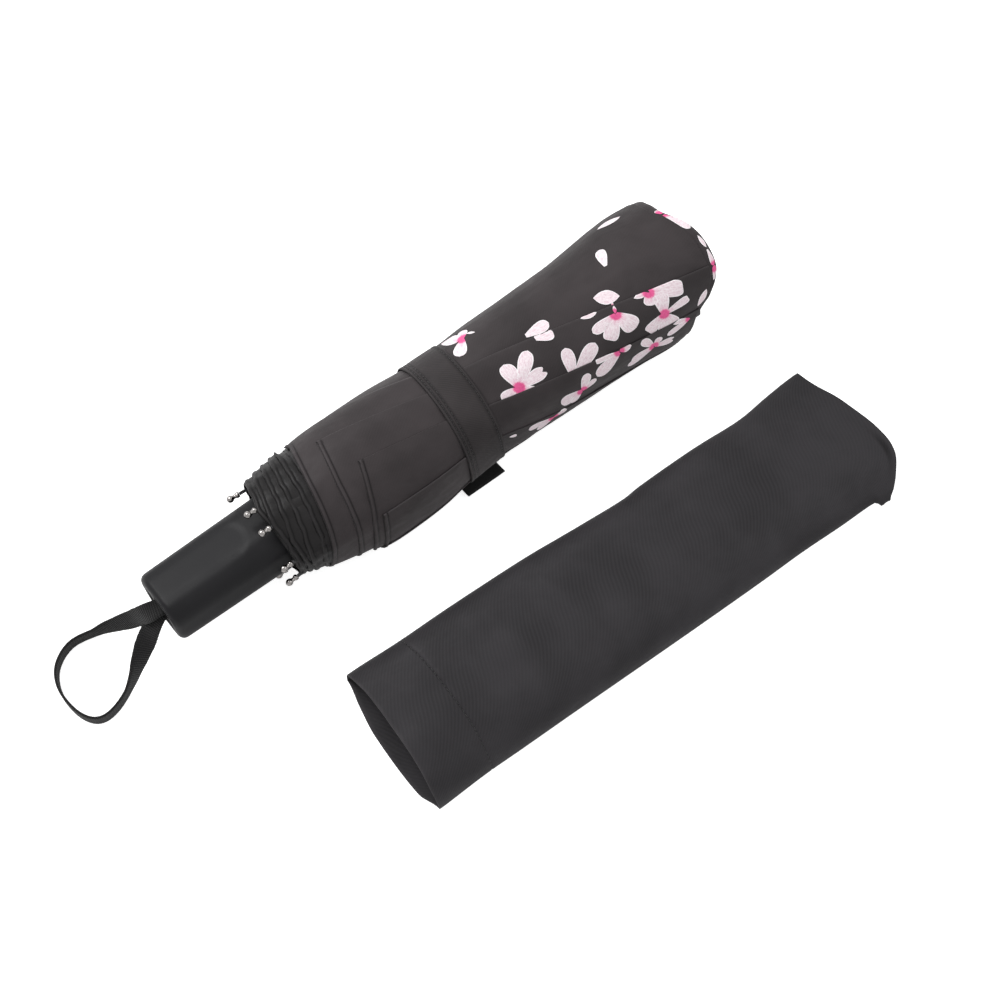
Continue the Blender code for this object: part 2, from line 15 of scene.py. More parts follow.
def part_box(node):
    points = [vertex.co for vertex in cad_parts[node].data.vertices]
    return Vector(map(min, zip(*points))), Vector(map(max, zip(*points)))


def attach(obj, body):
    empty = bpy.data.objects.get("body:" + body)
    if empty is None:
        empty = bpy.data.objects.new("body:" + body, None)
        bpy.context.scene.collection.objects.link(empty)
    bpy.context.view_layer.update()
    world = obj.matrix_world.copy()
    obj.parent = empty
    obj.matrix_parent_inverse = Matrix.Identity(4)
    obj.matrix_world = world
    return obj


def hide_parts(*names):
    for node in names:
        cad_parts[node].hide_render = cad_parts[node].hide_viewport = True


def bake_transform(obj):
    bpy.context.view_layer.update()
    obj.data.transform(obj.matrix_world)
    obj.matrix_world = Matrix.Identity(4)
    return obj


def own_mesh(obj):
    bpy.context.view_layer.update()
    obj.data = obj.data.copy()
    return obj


MM = 0.001

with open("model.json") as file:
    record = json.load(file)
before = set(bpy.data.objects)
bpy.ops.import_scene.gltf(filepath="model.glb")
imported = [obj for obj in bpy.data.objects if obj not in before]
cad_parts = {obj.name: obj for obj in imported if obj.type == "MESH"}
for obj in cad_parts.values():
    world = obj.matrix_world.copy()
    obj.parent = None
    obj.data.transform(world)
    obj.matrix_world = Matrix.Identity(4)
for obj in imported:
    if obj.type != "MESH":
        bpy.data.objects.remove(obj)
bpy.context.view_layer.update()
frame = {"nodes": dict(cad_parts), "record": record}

# The shaft's axis, from the frame.
TUBE_LOW, TUBE_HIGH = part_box("lower_tube")
AXIS_Z = (TUBE_LOW[2] + TUBE_HIGH[2]) / 2
HANDLE_END_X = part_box("handle_grip")[0][0]
STRAP_LOW, STRAP_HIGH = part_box("closure_strap")
STRAP_FIRST = (STRAP_LOW[0] - HANDLE_END_X) / MM
STRAP_LAST = (STRAP_HIGH[0] - HANDLE_END_X) / MM
AXIS_HEIGHT = AXIS_Z / MM

# Folding: how far each layer sinks by the time the next covers it, and the sheet's own thickness.
SINK = 0.6
CLOTH_THICKNESS = 0.22
FOLD_RADIUS = 0.22
FOLD_UNDER = 6.0
PRINT_RADIUS = 28.6
PRINT_LIFT = 0.09


def place(station, y, z):
    """A point in the frame from its station, its distance towards +Y and its height above the axis."""
    return Vector((HANDLE_END_X + station * MM, y * MM, AXIS_Z + z * MM))


def about(station, turn, radius):
    """A point at an angle and a distance from the axis."""
    t = math.radians(turn)
    return place(station, radius * math.sin(t), radius * math.cos(t))


def between(x, table):
    """A smooth curve through a table of (x, y), flat beyond its ends."""
    if x <= table[0][0]:
        return table[0][1]
    if x >= table[-1][0]:
        return table[-1][1]
    i = max(k for k in range(len(table) - 1) if table[k][0] <= x)
    (x0, y0), (x1, y1) = table[i], table[i + 1]

    def slope(k):
        if k in (0, len(table) - 1):
            return 0.0
        return (table[k + 1][1] - table[k - 1][1]) / (table[k + 1][0] - table[k - 1][0])

    t = (x - x0) / (x1 - x0)
    width = x1 - x0
    a, b = slope(i) * width, slope(i + 1) * width
    return (
        (2 * t**3 - 3 * t**2 + 1) * y0
        + (t**3 - 2 * t**2 + t) * a
        + (3 * t**2 - 2 * t**3) * y1
        + (t**3 - t**2) * b
    )


def straight(x, table):
    """Straight lines through a table of (x, y), going on at its ends."""
    last = len(table) - 2
    i = 0
    while i < last and x > table[i + 1][0]:
        i += 1
    (x0, y0), (x1, y1) = table[i], table[i + 1]
    return y0 + (y1 - y0) * (x - x0) / (x1 - x0)


def ease(t):
    t = min(max(t, 0.0), 1.0)
    return t * t * (3 - 2 * t)


def rough(x, y, z=0.0):
    return noise.noise(Vector((x, y, z)))


# Meshes.


def skin(name, rows, finish, coords=None, around=False, marks=None):
    """A mesh over rows of equal length, with its cloth coordinates in metres. Around joins each row up."""
    wide = len(rows[0])
    points = [p for row in rows for p in row]
    faces = []
    corners = []
    for i in range(len(rows) - 1):
        for j in range(wide if around else wide - 1):
            k = (j + 1) % wide
            faces.append((i * wide + j, i * wide + k, (i + 1) * wide + k, (i + 1) * wide + j))
            corners += [(i, j), (i, j + 1), (i + 1, j + 1), (i + 1, j)]
    mesh = bpy.data.meshes.new(name)
    mesh.from_pydata(points, [], faces)
    if coords:
        layer = mesh.uv_layers.new(name="cloth")
        for loop, (i, j) in enumerate(corners):
            layer.data[loop].uv = coords[i][j]
    if marks:
        for label, values in marks.items():
            attribute = mesh.attributes.new(label, "FLOAT", "POINT")
            attribute.data.foreach_set("value", [v for row in values for v in row])
    mesh.shade_smooth()
    mesh.materials.append(finish)
    made = bpy.data.objects.new(name, mesh)
    bpy.context.scene.collection.objects.link(made)
    return made


def joined(name, pieces, finish):
    """One mesh from lists of (points, faces)."""
    points = []
    faces = []
    for some_points, some_faces in pieces:
        start = len(points)
        points += some_points
        faces += [tuple(start + i for i in face) for face in some_faces]
    mesh = bpy.data.meshes.new(name)
    mesh.from_pydata(points, [], faces)
    mesh.shade_smooth()
    mesh.materials.append(finish)
    made = bpy.data.objects.new(name, mesh)
    bpy.context.scene.collection.objects.link(made)
    return made


def thicken(obj, thickness, offset=-1.0):
    made = obj.modifiers.new("thickness", "SOLIDIFY")
    made.thickness = thickness * MM
    made.offset = offset
    made.use_even_offset = False
    return made


def smooth(obj, levels=1):
    made = obj.modifiers.new("smooth", "SUBSURF")
    made.levels = levels
    made.render_levels = levels
    return made


# Materials.


class Shader:
    """A material's nodes, made one after another."""

    def __init__(self, name):
        self.material = bpy.data.materials.new(name)
        self.material.use_nodes = True
        self.tree = self.material.node_tree
        self.surface = self.tree.nodes["Principled BSDF"]

    def value(self, socket, source):
        if isinstance(source, bpy.types.NodeSocket):
            self.tree.links.new(source, socket)
        elif isinstance(source, (tuple, list)) and len(source) == 3 and socket.type == "RGBA":
            socket.default_value = (*source, 1.0)
        else:
            socket.default_value = source

    def node(self, kind, output=0, settings=(), **inputs):
        made = self.tree.nodes.new("ShaderNode" + kind)
        for key, value in dict(settings).items():
            setattr(made, key, value)
        for key, source in inputs.items():
            socket = made.inputs[int(key[1:])] if key[0] == "i" and key[1:].isdigit() else made.inputs[key]
            self.value(socket, source)
        return made.outputs[output]

    def math(self, operation, a, b=0.0, c=0.0):
        return self.node("Math", settings={"operation": operation}, i0=a, i1=b, i2=c)

    def mix(self, share, a, b):
        made = self.tree.nodes.new("ShaderNodeMix")
        made.data_type = "RGBA"
        self.value(made.inputs[0], share)
        self.value(made.inputs[6], a)
        self.value(made.inputs[7], b)
        return made.outputs[2]

    def remap(self, x, low, high, out_low=0.0, out_high=1.0):
        smooth_step = {"interpolation_type": "SMOOTHSTEP"}
        return self.node("MapRange", settings=smooth_step, i0=x, i1=low, i2=high, i3=out_low, i4=out_high)

    def noise(self, vector, scale, detail=2.0, roughness=0.5):
        return self.node("TexNoise", Vector=vector, Scale=scale, Detail=detail, Roughness=roughness)

    def attribute(self, name):
        return self.node("Attribute", output=2, settings={"attribute_name": name})

    def cloth(self):
        return self.node("UVMap", settings={"uv_map": "cloth"})

    def stretched(self, vector, scale):
        return self.node("VectorMath", settings={"operation": "MULTIPLY"}, i0=vector, i1=scale)

    def lines(self, vector, direction, pitch):
        """A wave of this pitch in metres, 0 to 1, along a direction in the cloth."""
        dot = {"operation": "DOT_PRODUCT"}
        along = self.node("VectorMath", output=1, settings=dot, i0=vector, i1=direction)
        wave = self.math("SINE", self.math("MULTIPLY", along, math.tau / pitch))
        return self.math("MULTIPLY_ADD", wave, 0.5, 0.5)

    def bump(self, height, distance, strength=1.0):
        return self.node("Bump", Height=height, Distance=distance, Strength=strength)

    def finish(self, **inputs):
        for key, source in inputs.items():
            self.value(self.surface.inputs[key.replace("_", " ")], source)
        return self.material


def cloth_finish(name, colour, twill, pitch, roughness=0.55, sheen=0.25, gloss=0.35, rim=0.0):
    """Woven coated cloth: threads, a twill line, blotches and fine creases, with a painted highlight along rims
    and painted shade at hem edges and stitches.
    """
    s = Shader(name)
    cloth = s.cloth()
    slant = 0.8
    line = s.lines(cloth, (math.cos(slant), math.sin(slant), 0.0), pitch)
    warp = s.lines(cloth, (1.0, 0.0, 0.0), 0.00042)
    weft = s.lines(cloth, (0.0, 1.0, 0.0), 0.00042)
    threads = s.math("MULTIPLY", warp, weft)
    blotch = s.noise(cloth, 38.0, 3.0)
    fine = s.noise(s.stretched(cloth, (160.0, 420.0, 1.0)), 1.0, 3.0, 0.6)
    dark = tuple(c * 0.8 for c in colour)
    light = tuple(c * 1.22 for c in colour)
    tint = s.mix(s.remap(blotch, 0.3, 0.7), dark, light)
    tint = s.mix(s.math("MULTIPLY", line, twill), tint, tuple(c * 1.6 for c in colour))
    # Painted highlight: the rim attribute lightens the cloth along fold edges and hem ridges, where light
    # catches them.
    if rim:
        tint = s.mix(s.math("MULTIPLY", s.attribute("rim"), rim), tint, (0.16, 0.15, 0.155))
    # Painted shade: darkens the cloth where a hem's edge casts its shadow and along stitch grooves.
    tint = s.mix(s.math("MULTIPLY", s.attribute("painted_shade"), 0.9), tint, tuple(c * 0.1 for c in colour))
    creases = s.noise(s.stretched(cloth, (55.0, 120.0, 1.0)), 1.0, 2.0, 0.55)
    height = s.math("MULTIPLY_ADD", creases, 2.4, s.math("MULTIPLY", threads, 0.25))
    height = s.math("MULTIPLY_ADD", line, 1.2 * twill, height)
    height = s.math("MULTIPLY_ADD", fine, 0.35, height)
    s.surface.inputs["Sheen Weight"].default_value = sheen
    s.surface.inputs["Sheen Roughness"].default_value = 0.45
    s.surface.inputs["Specular IOR Level"].default_value = gloss
    return s.finish(
        Base_Color=tint,
        Roughness=s.remap(fine, 0.2, 0.8, roughness - 0.08, roughness + 0.08),
        Normal=s.bump(height, 0.00008, 0.8),
    )


def webbing_finish():
    """Ribbed black webbing, its ribs across its length."""
    s = Shader("loop_webbing")
    cloth = s.cloth()
    ribs = s.lines(cloth, (1.0, 0.0, 0.0), 0.0011)
    across = s.lines(cloth, (0.0, 1.0, 0.0), 0.0009)
    fuzz = s.noise(cloth, 2600.0, 2.0)
    raised = s.math("MULTIPLY", ribs, s.remap(fuzz, 0.3, 0.7, 0.5, 1.0))
    tint = s.mix(raised, (0.003, 0.003, 0.003), (0.014, 0.0135, 0.014))
    height = s.math("MULTIPLY_ADD", across, 0.4, s.math("MULTIPLY_ADD", fuzz, 0.4, ribs))
    s.surface.inputs["Sheen Weight"].default_value = 0.12
    s.surface.inputs["Specular IOR Level"].default_value = 0.2
    return s.finish(Base_Color=tint, Roughness=0.8, Normal=s.bump(height, 0.0002, 1.0))


def plastic_finish(name, colour, roughness, grain, speck=0.0):
    """Moulded plastic with a fine grain."""
    s = Shader(name)
    where = s.node("TexCoord", output=3)
    fine = s.noise(where, 3200.0, 2.0)
    broad = s.noise(where, 45.0, 3.0)
    tint = s.mix(s.remap(broad, 0.3, 0.7), tuple(c * 0.9 for c in colour), tuple(c * 1.1 for c in colour))
    if speck:
        tint = s.mix(s.remap(fine, 0.62, 0.75, 0.0, speck), tint, tuple(c * 2.0 for c in colour))
    s.surface.inputs["Specular IOR Level"].default_value = 0.17
    return s.finish(
        Base_Color=tint,
        Roughness=s.remap(broad, 0.2, 0.8, roughness - 0.05, roughness + 0.05),
        Normal=s.bump(fine, 0.00006, grain),
    )


def metal_finish(name, colour, roughness, brush, metallic=1.0):
    """Metal with fine draw lines along X."""
    s = Shader(name)
    where = s.node("TexCoord", output=3)
    lines = s.noise(s.stretched(where, (60.0, 9000.0, 9000.0)), 1.0, 2.0)
    broad = s.noise(where, 120.0, 2.0)
    tint = s.mix(s.remap(broad, 0.3, 0.75), colour, tuple(c * 0.8 for c in colour))
    s.surface.inputs["Metallic"].default_value = metallic
    return s.finish(
        Base_Color=tint,
        Roughness=s.remap(lines, 0.2, 0.8, roughness - 0.06, roughness + 0.06),
        Normal=s.bump(lines, 0.00003, brush),
    )


def thread_finish(name, colour):
    s = Shader(name)
    where = s.node("TexCoord", output=3)
    twist = s.noise(where, 5000.0, 2.0)
    tint = s.mix(twist, tuple(c * 0.6 for c in colour), tuple(c * 1.4 for c in colour))
    s.surface.inputs["Sheen Weight"].default_value = 0.2
    return s.finish(Base_Color=tint, Roughness=0.6, Normal=s.bump(twist, 0.0001, 0.6))


def blossom_finish():
    """Printed petals: pale pink with a white edge, and a magenta heart with rays."""
    s = Shader("blossom_print")
    cloth = s.cloth()
    petal = s.node("UVMap", settings={"uv_map": "petal"})
    edge = s.attribute("edge")
    core = s.attribute("core")
    veins = s.noise(s.stretched(petal, (2.2, 16.0, 1.0)), 1.0, 3.0, 0.6)
    mottle = s.noise(cloth, 900.0, 3.0, 0.65)
    shade = s.math("MULTIPLY_ADD", veins, 0.55, s.math("MULTIPLY", mottle, 0.45))
    tint = s.mix(s.remap(shade, 0.36, 0.6), (0.70, 0.53, 0.59), (0.84, 0.76, 0.79))
    flush = s.remap(s.math("MULTIPLY_ADD", veins, 1.6, core), 6.5, 2.2)
    tint = s.mix(s.math("MULTIPLY", flush, 0.55), tint, (0.80, 0.36, 0.52))
    tint = s.mix(s.remap(edge, 0.42, 0.22), tint, (0.92, 0.88, 0.90))
    heart = s.remap(s.math("MULTIPLY_ADD", veins, 2.4, core), 4.6, 3.4)
    tint = s.mix(heart, tint, s.mix(mottle, (0.62, 0.04, 0.20), (0.85, 0.16, 0.36)))
    warp = s.lines(cloth, (1.0, 0.0, 0.0), 0.00042)
    weft = s.lines(cloth, (0.0, 1.0, 0.0), 0.00042)
    s.surface.inputs["Specular IOR Level"].default_value = 0.3
    return s.finish(
        Base_Color=tint, Roughness=0.6, Normal=s.bump(s.math("MULTIPLY", warp, weft), 0.00003, 0.6)
    )


def floor_finish():
    s = Shader("floor_paper")
    where = s.node("TexCoord", output=3)
    cloud = s.noise(where, 6.0, 2.0)
    return s.finish(
        Base_Color=s.mix(cloud, (0.84, 0.84, 0.84), (0.88, 0.88, 0.88)),
        Emission_Color=(1.0, 1.0, 1.0),
        Emission_Strength=s.math("MULTIPLY", s.node("LightPath"), 0.7),
        Roughness=0.9,
        Normal=s.bump(s.noise(where, 800.0, 2.0), 0.0001, 0.2),
    )


CLOTH = cloth_finish("canopy_cloth", (0.0345, 0.0292, 0.0305), 0.10, 0.0011, sheen=0.05, gloss=0.15, rim=0.3)
# A darker copy of the canopy cloth for the inner hem turns: painted shade, for the shade between the roll's
# layers.
SHADED_INNER_CLOTH = cloth_finish(
    "canopy_cloth_inner_shaded", (0.0125, 0.0115, 0.0118), 0.06, 0.0011,
    roughness=0.42, sheen=0.01, gloss=0.16, rim=0.1,
)
STRAP_CLOTH = cloth_finish(
    "strap_cloth", (0.031, 0.0272, 0.028), 0.3, 0.0010,
    sheen=0.04, gloss=0.12, rim=0.12,
)
SLEEVE_CLOTH = cloth_finish(
    "sleeve_cloth", (0.0225, 0.021, 0.0232), 0.3, 0.0013,
    sheen=0.04, gloss=0.15, rim=0.15,
)
HOOK_CLOTH = cloth_finish(
    "hook_tape", (0.012, 0.012, 0.012), 0.5, 0.0008,
    roughness=0.85, sheen=0.1, gloss=0.15,
)
WEBBING = webbing_finish()
THREAD = thread_finish("sewing_thread", (0.005, 0.0047, 0.0048))
GRIP = plastic_finish("grip_plastic", (0.0095, 0.0093, 0.0105), 0.46, 0.35)
CAP = plastic_finish("cap_plastic", (0.09, 0.083, 0.08), 0.5, 0.3)
DARK = plastic_finish("black_plastic", (0.014, 0.014, 0.014), 0.35, 0.15)
STEEL = metal_finish("plated_steel", (0.62, 0.62, 0.63), 0.24, 0.3)
RIB_STEEL = metal_finish("rib_steel", (0.05, 0.05, 0.053), 0.38, 0.3, metallic=0.6)
RIB_ALUMINIUM = metal_finish("rib_aluminium", (0.34, 0.34, 0.35), 0.36, 0.4)
CHROME = metal_finish("chrome_tip", (0.38, 0.36, 0.35), 0.12, 0.05)
BLOSSOM = blossom_finish()

SLOT_OF_NODE = {
    "plated_steel": STEEL,
    "black_plastic": DARK,
    "rib_steel": RIB_STEEL,
    "rib_aluminium": RIB_ALUMINIUM,
    "chrome_tip": CHROME,
    "cap_plastic": CAP,
    "grip_plastic": GRIP,
    "canopy_cloth": CLOTH,
    "strap_cloth": STRAP_CLOTH,
    "sleeve_cloth": SLEEVE_CLOTH,
    "loop_webbing": WEBBING,
}


def finish_cad_nodes():
    for row in frame["record"]["subparts"]:
        node = frame["nodes"][row["node"]]
        node.data.materials.clear()
        node.data.materials.append(SLOT_OF_NODE[row["material_slot"]])
        if row["node"].startswith("rib_tip"):
            node.modifiers.new("weld", "WELD").merge_threshold = 0.01 * MM
            smooth(node, 2)
            swell = node.modifiers.new("swell", "DISPLACE")
            swell.strength = 0.15 * MM
            swell.mid_level = 0.0
            node.data.shade_smooth()


# The rolled canopy.

ENVELOPE = [
    (55.0, 24.6), (62.0, 25.8), (70.0, 26.9), (80.0, 27.9), (90.0, 28.6), (100.0, 29.0), (110.0, 29.0),
    (130.0, 28.4), (146.0, 27.1), (156.0, 26.9), (167.0, 27.1), (180.0, 28.1), (200.0, 28.6), (262.0, 28.7),
    (288.0, 28.6),
]


# How far the loose layers sag out on the -Y side near the floor, by station.
SAG = [
    (58.0, 0.5), (76.0, 3.6), (90.0, 5.0), (105.0, 6.6), (130.0, 6.6), (144.0, 5.6), (156.0, 4.6),
    (180.0, 3.4), (217.0, 4.0), (243.0, 4.8), (266.0, 6.2), (288.0, 2.0),
]


def turned_between(turn, low):
    """The same angle, brought to within one turn above the lowest."""
    return (turn - low) % 360.0 + low


def envelope(station, turn):
    """The roll's outer radius: sagging on the floor, and flaring towards +Y near its top."""
    t = math.radians(turn)
    radius = between(station, ENVELOPE)
    radius += 2.9 * math.exp(-(((station - 268.0) / 24.0) ** 2)) * max(0.0, math.sin(t + 0.35))
    away = (turned_between(turn, -305.0) + 125.0) / 26.0
    radius += between(station, SAG) * math.exp(-away * away)
    radius += 0.22 * math.sin(2 * t + station / 23.0) + 0.16 * math.sin(3 * t - station / 17.0)
    down = -math.cos(t)
    if down > 0.3:
        radius = min(radius, (AXIS_HEIGHT - 0.15) / down)
    return radius


class RollSheet:
    """One folded panel of the roll. It begins at a fold edge and goes round towards falling angles."""

    def __init__(self, folds, number, start, stop, until=None, creases=(), rim=1.0):
        self.folds = folds
        self.number = number
        self.start = start
        self.stop = stop
        self.until = until
        self.creases = creases
        # rim: how strong the painted highlight along this sheet's fold edge is.
        self.rim = rim

    def fold(self, station, ahead=0):
        """The angle of this sheet's fold edge, or of one that comes after it."""
        count = len(self.folds)
        k = self.number + ahead
        return straight(station, self.folds[k % count]) - 360.0 * (k // count)

    def layer(self, station, turn):
        """How many layers lie over the sheet here, rising evenly from one fold edge to the next."""
        if turn >= self.fold(station):
            return 0.0
        ahead = 0
        while turn < self.fold(station, ahead + 1) and ahead < 6:
            ahead += 1
        here, there = self.fold(station, ahead), self.fold(station, ahead + 1)
        return ahead + ease((here - turn) / (here - there))

    def radius(self, station, turn):
        radius = envelope(station, turn) - SINK * self.layer(station, turn)
        wave = rough(station / 26.0, turn / 14.0, self.number * 3.1) * 0.34
        wave += rough(station / 9.0, turn / 7.0, self.number * 7.7) * 0.1
        for crease, height, width in self.creases:
            away = (turn - straight(station, crease)) / width
            wave += height * math.exp(-away * away) * ease((station - 150.0) / 60.0)
        return radius + wave * ease((self.fold(station) - turn) / 8.0)

    def place(self, station, across, lift=0.0):
        """A point of the sheet at a distance from its fold edge. Below 0 it is folded under."""
        edge = self.fold(station)
        outer = envelope(station, edge)
        half_round = math.pi * FOLD_RADIUS
        if across >= 0.0:
            turn = edge - math.degrees(across / outer)
            radius = self.radius(station, turn)
            return about(station, turn, radius + lift)
        if across >= -half_round:
            t = -across / FOLD_RADIUS
            turn = edge + math.degrees((FOLD_RADIUS + lift) * math.sin(t) / outer)
            return about(station, turn, outer - FOLD_RADIUS + (FOLD_RADIUS + lift) * math.cos(t))
        turn = edge - math.degrees((-across - half_round) / outer)
        return about(station, turn, self.radius(station, turn) - 2 * FOLD_RADIUS - lift)

    def station(self, along, turn):
        first, last = self.start(turn), self.stop(turn)
        return first + (last - first) * along

    def rows(self):
        """Shares of the way from start to stop, close together at both ends."""
        length = self.stop(0.0) - self.start(0.0)
        near = [d / length for d in (0.0, 0.25, 0.7, 1.2, 1.7, 2.1, 2.4, 2.8, 3.6, 5.0)]
        count = max(6, round(length / 2.6))
        middle = [near[-1] + (1.0 - 2 * near[-1]) * i / count for i in range(1, count)]
        return near + middle + [1.0 - d for d in near[::-1]]


def hem_rise(distance):
    """A rolled hem in section: turned in at its edge, thick, and pulled down at its stitches."""
    shape = [
        (0.0, -0.55), (0.25, -0.1), (0.7, 0.22), (1.2, 0.3), (1.7, 0.18), (2.1, -0.12), (2.4, -0.16), (3.0, 0.0),
    ]
    return between(distance, shape)


def hem_painted_shade(distance):
    """Painted shade on a rolled hem: a shadow at its edge, and shade along its stitches."""
    return min(1.0, math.exp(-((distance / 0.35) ** 2)) + math.exp(-(((distance - 2.25) / 0.35) ** 2)))


def sheet_mesh(name, sheet, finish, hem_first=False, hem_last=False):
    """The sheet's surface as a mesh, and what it measures."""
    first, last = sheet.start(0.0), sheet.stop(0.0)
    stations = [first + (last - first) * i / 24 for i in range(25)]
    reach = max(sheet.fold(station) - sheet.fold(station, 1) + 18.0 for station in stations)
    if sheet.until is not None:
        reach = max(reach, sheet.fold(120.0) - sheet.until)
    wide = math.radians(reach) * PRINT_RADIUS
    half_round = math.pi * FOLD_RADIUS
    steps = [-FOLD_UNDER, -3.0, -1.6, -half_round, -0.66, -0.35, -0.1, 0.12, 0.5, 1.2]
    count = max(8, round((wide - 1.2) / 1.9))
    steps += [1.2 + (wide - 1.2) * i / count for i in range(1, count + 1)]
    rows, coords, rim_highlights, painted_shades = [], [], [], []
    for along in sheet.rows():
        row, coord, rim, painted_shade = [], [], [], []
        for across in steps:
            station = sheet.station(along, sheet.fold(200.0))
            for _ in range(3):
                turn = sheet.fold(station) - math.degrees(max(across, 0.0) / PRINT_RADIUS)
                station = sheet.station(along, turn)
            first = station - sheet.start(turn)
            last = sheet.stop(turn) - station
            lift = hem_rise(first) if hem_first else 0.0
            lift += hem_rise(last) if hem_last else 0.0
            row.append(sheet.place(station, across, lift if across > 0.0 else min(lift, 0.0)))
            coord.append((station * MM, across * MM))
            # Painted highlight along the fold edge.
            edge = sheet.rim * math.exp(-((across + 0.1) ** 2) / 0.3)
            # Painted shade at the hem's edge and along its stitch groove.
            dark = 0.0
            if hem_first:
                # Painted highlight along the hem's ridge.
                edge = max(edge, 0.15 * math.exp(-((first - 0.9) ** 2) / 0.4))
                dark = hem_painted_shade(first)
            rim.append(edge)
            painted_shade.append(dark)
        rows.append(row)
        coords.append(coord)
        rim_highlights.append(rim)
        painted_shades.append(painted_shade)
    made = skin(name, rows, finish, coords, marks={"rim": rim_highlights, "painted_shade": painted_shades})
    thicken(made, CLOTH_THICKNESS)
    middle = (sheet.fold(200.0) + sheet.fold(200.0, 1)) / 2
    length = sheet.stop(middle) - sheet.start(middle)
    return made, ((wide + FOLD_UNDER) * MM, length * MM)


UPPER_FOLDS = [
    [(171.0, 77.0), (256.0, 76.0), (280.0, 55.0)],
    [(171.0, 4.0), (268.0, -38.0)],
    [(169.0, -38.0), (219.0, -60.0), (268.0, -82.0)],
    [(169.0, -80.0), (200.0, -98.0), (268.0, -125.0)],
    [(171.0, -117.0), (268.0, -165.0)],
    [(171.0, -160.0), (268.0, -208.0)],
    [(171.0, -203.0), (268.0, -246.0)],
    [(171.0, -238.0), (268.0, -266.0)],
]
RIM_STATION = [
    (-270.0, 280.0), (-200.0, 275.0), (-150.0, 272.0), (-110.0, 273.5), (-95.0, 276.5), (-80.0, 284.0),
    (-62.0, 289.0), (-50.0, 290.8), (-20.0, 291.0), (0.0, 289.0), (14.0, 286.0), (23.0, 284.0), (45.0, 283.5),
    (60.0, 283.5), (90.0, 280.5),
]


def rim_station(turn):
    while turn > 90.0:
        turn -= 360.0
    while turn < -270.0:
        turn += 360.0
    return between(turn, RIM_STATION)


def upper_stop(turn):
    return rim_station(turn) - 5.2


def under_strap(turn):
    return STRAP_FIRST + 5.0


LOWER_FOLDS = [
    [(82.0, 62.0), (93.0, 66.0), (146.0, 34.0)],
    [(95.0, 29.0), (146.0, 6.0)],
    [(104.0, -11.0), (147.0, -26.0)],
    [(100.6, -66.0), (146.0, -71.0)],
    [(97.0, -112.0), (146.0, -115.0)],
    [(97.0, -158.0), (146.0, -160.0)],
    [(97.0, -204.0), (146.0, -205.0)],
    [(92.0, -252.0), (146.0, -250.0)],
]
LOWER_HEMS = [
    [(-130.0, 70.0), (-89.0, 73.0), (0.0, 80.0), (51.0, 85.0), (66.0, 84.0)],
    [(-130.0, 84.0), (-94.0, 86.0), (-17.0, 90.0), (31.0, 95.0)],
    [(-115.0, 92.0), (-70.0, 95.0), (-40.0, 99.0), (-8.0, 104.0)],
    [(-150.0, 96.0), (-110.0, 97.5), (-63.0, 100.6)],
    [(-190.0, 93.0), (-150.0, 95.0), (-112.0, 97.0)],
    [(-235.0, 92.0), (-200.0, 94.0), (-158.0, 97.0)],
    [(-280.0, 90.0), (-250.0, 92.0), (-204.0, 97.0)],
    [(-350.0, 86.0), (-300.0, 88.0), (-252.0, 92.0)],
]


def lower_stop(turn):
    return STRAP_LAST - 4.0


def make_upper_sheets():
    crease = [(170.0, 2.5), (220.0, 1.5), (254.0, -8.0), (265.0, -16.0)]
    sheets = []
    for k in range(len(UPPER_FOLDS)):
        creases = [(crease, 0.22, 2.6)] if k == 0 else []
        sheet = RollSheet(UPPER_FOLDS, k, under_strap, upper_stop, creases=creases, rim=0.3)
        made, flat = sheet_mesh(f"canopy_panel_{k + 1}", sheet, CLOTH)
        sheets.append((sheet, made, flat))
    return sheets


# The angle each skirt goes on to under the others, and how strong the painted highlight along its fold edge is.
LOWER_ENDS = [-135.0, -135.0, -125.0, -150.0, -190.0, -235.0, -280.0, -350.0]
LOWER_RIM_HIGHLIGHTS = [1.0, 0.15, 0.0, 0.7, 0.4, 0.4, 0.4, 0.4]


def hem_start(hem):
    """The station where a sheet starts, as a function of the angle, along its hem."""

    def start(turn):
        return straight(turn, hem)

    return start


def make_lower_sheets():
    sheets = []
    for k in range(len(LOWER_FOLDS)):
        hem = LOWER_HEMS[k]
        sheet = RollSheet(LOWER_FOLDS, k, hem_start(hem), lower_stop, until=LOWER_ENDS[k], rim=LOWER_RIM_HIGHLIGHTS[k])
        made, flat = sheet_mesh(f"canopy_skirt_{k + 1}", sheet, CLOTH, hem_first=True)
        sheets.append((sheet, made, flat))
    return sheets


# Inner turns of the rolled hems at the handle's end: radius at the hem, and the hem's (angle, station).
INNER_TURNS = [
    (25.6, [(-340.0, 84.0), (-290.0, 82.0), (-90.0, 77.0), (60.0, 83.0)]),
    (25.0, [(-340.0, 77.0), (-290.0, 76.0), (-90.0, 69.5), (63.0, 79.0)]),
    (24.3, [(-340.0, 72.0), (-290.0, 71.0), (-67.0, 64.0), (66.0, 75.0)]),
    (23.6, [(-340.0, 68.0), (-290.0, 68.0), (-40.0, 60.5), (70.0, 71.0)]),
    (22.9, [(-340.0, 65.0), (-290.0, 64.0), (-13.0, 57.5), (75.0, 67.0)]),
    (22.1, [(-340.0, 62.0), (-290.0, 62.0), (10.0, 56.5), (85.0, 63.0)]),
    (21.2, [(-340.0, 61.0), (-290.0, 61.0), (20.0, 59.5), (100.0, 61.0)]),
]
HEM_DISTANCES = (0.0, 0.25, 0.7, 1.2, 1.7, 2.1, 2.4, 2.8, 3.6, 5.0, 7.0, 10.0, 14.0, 20.0, 28.0)


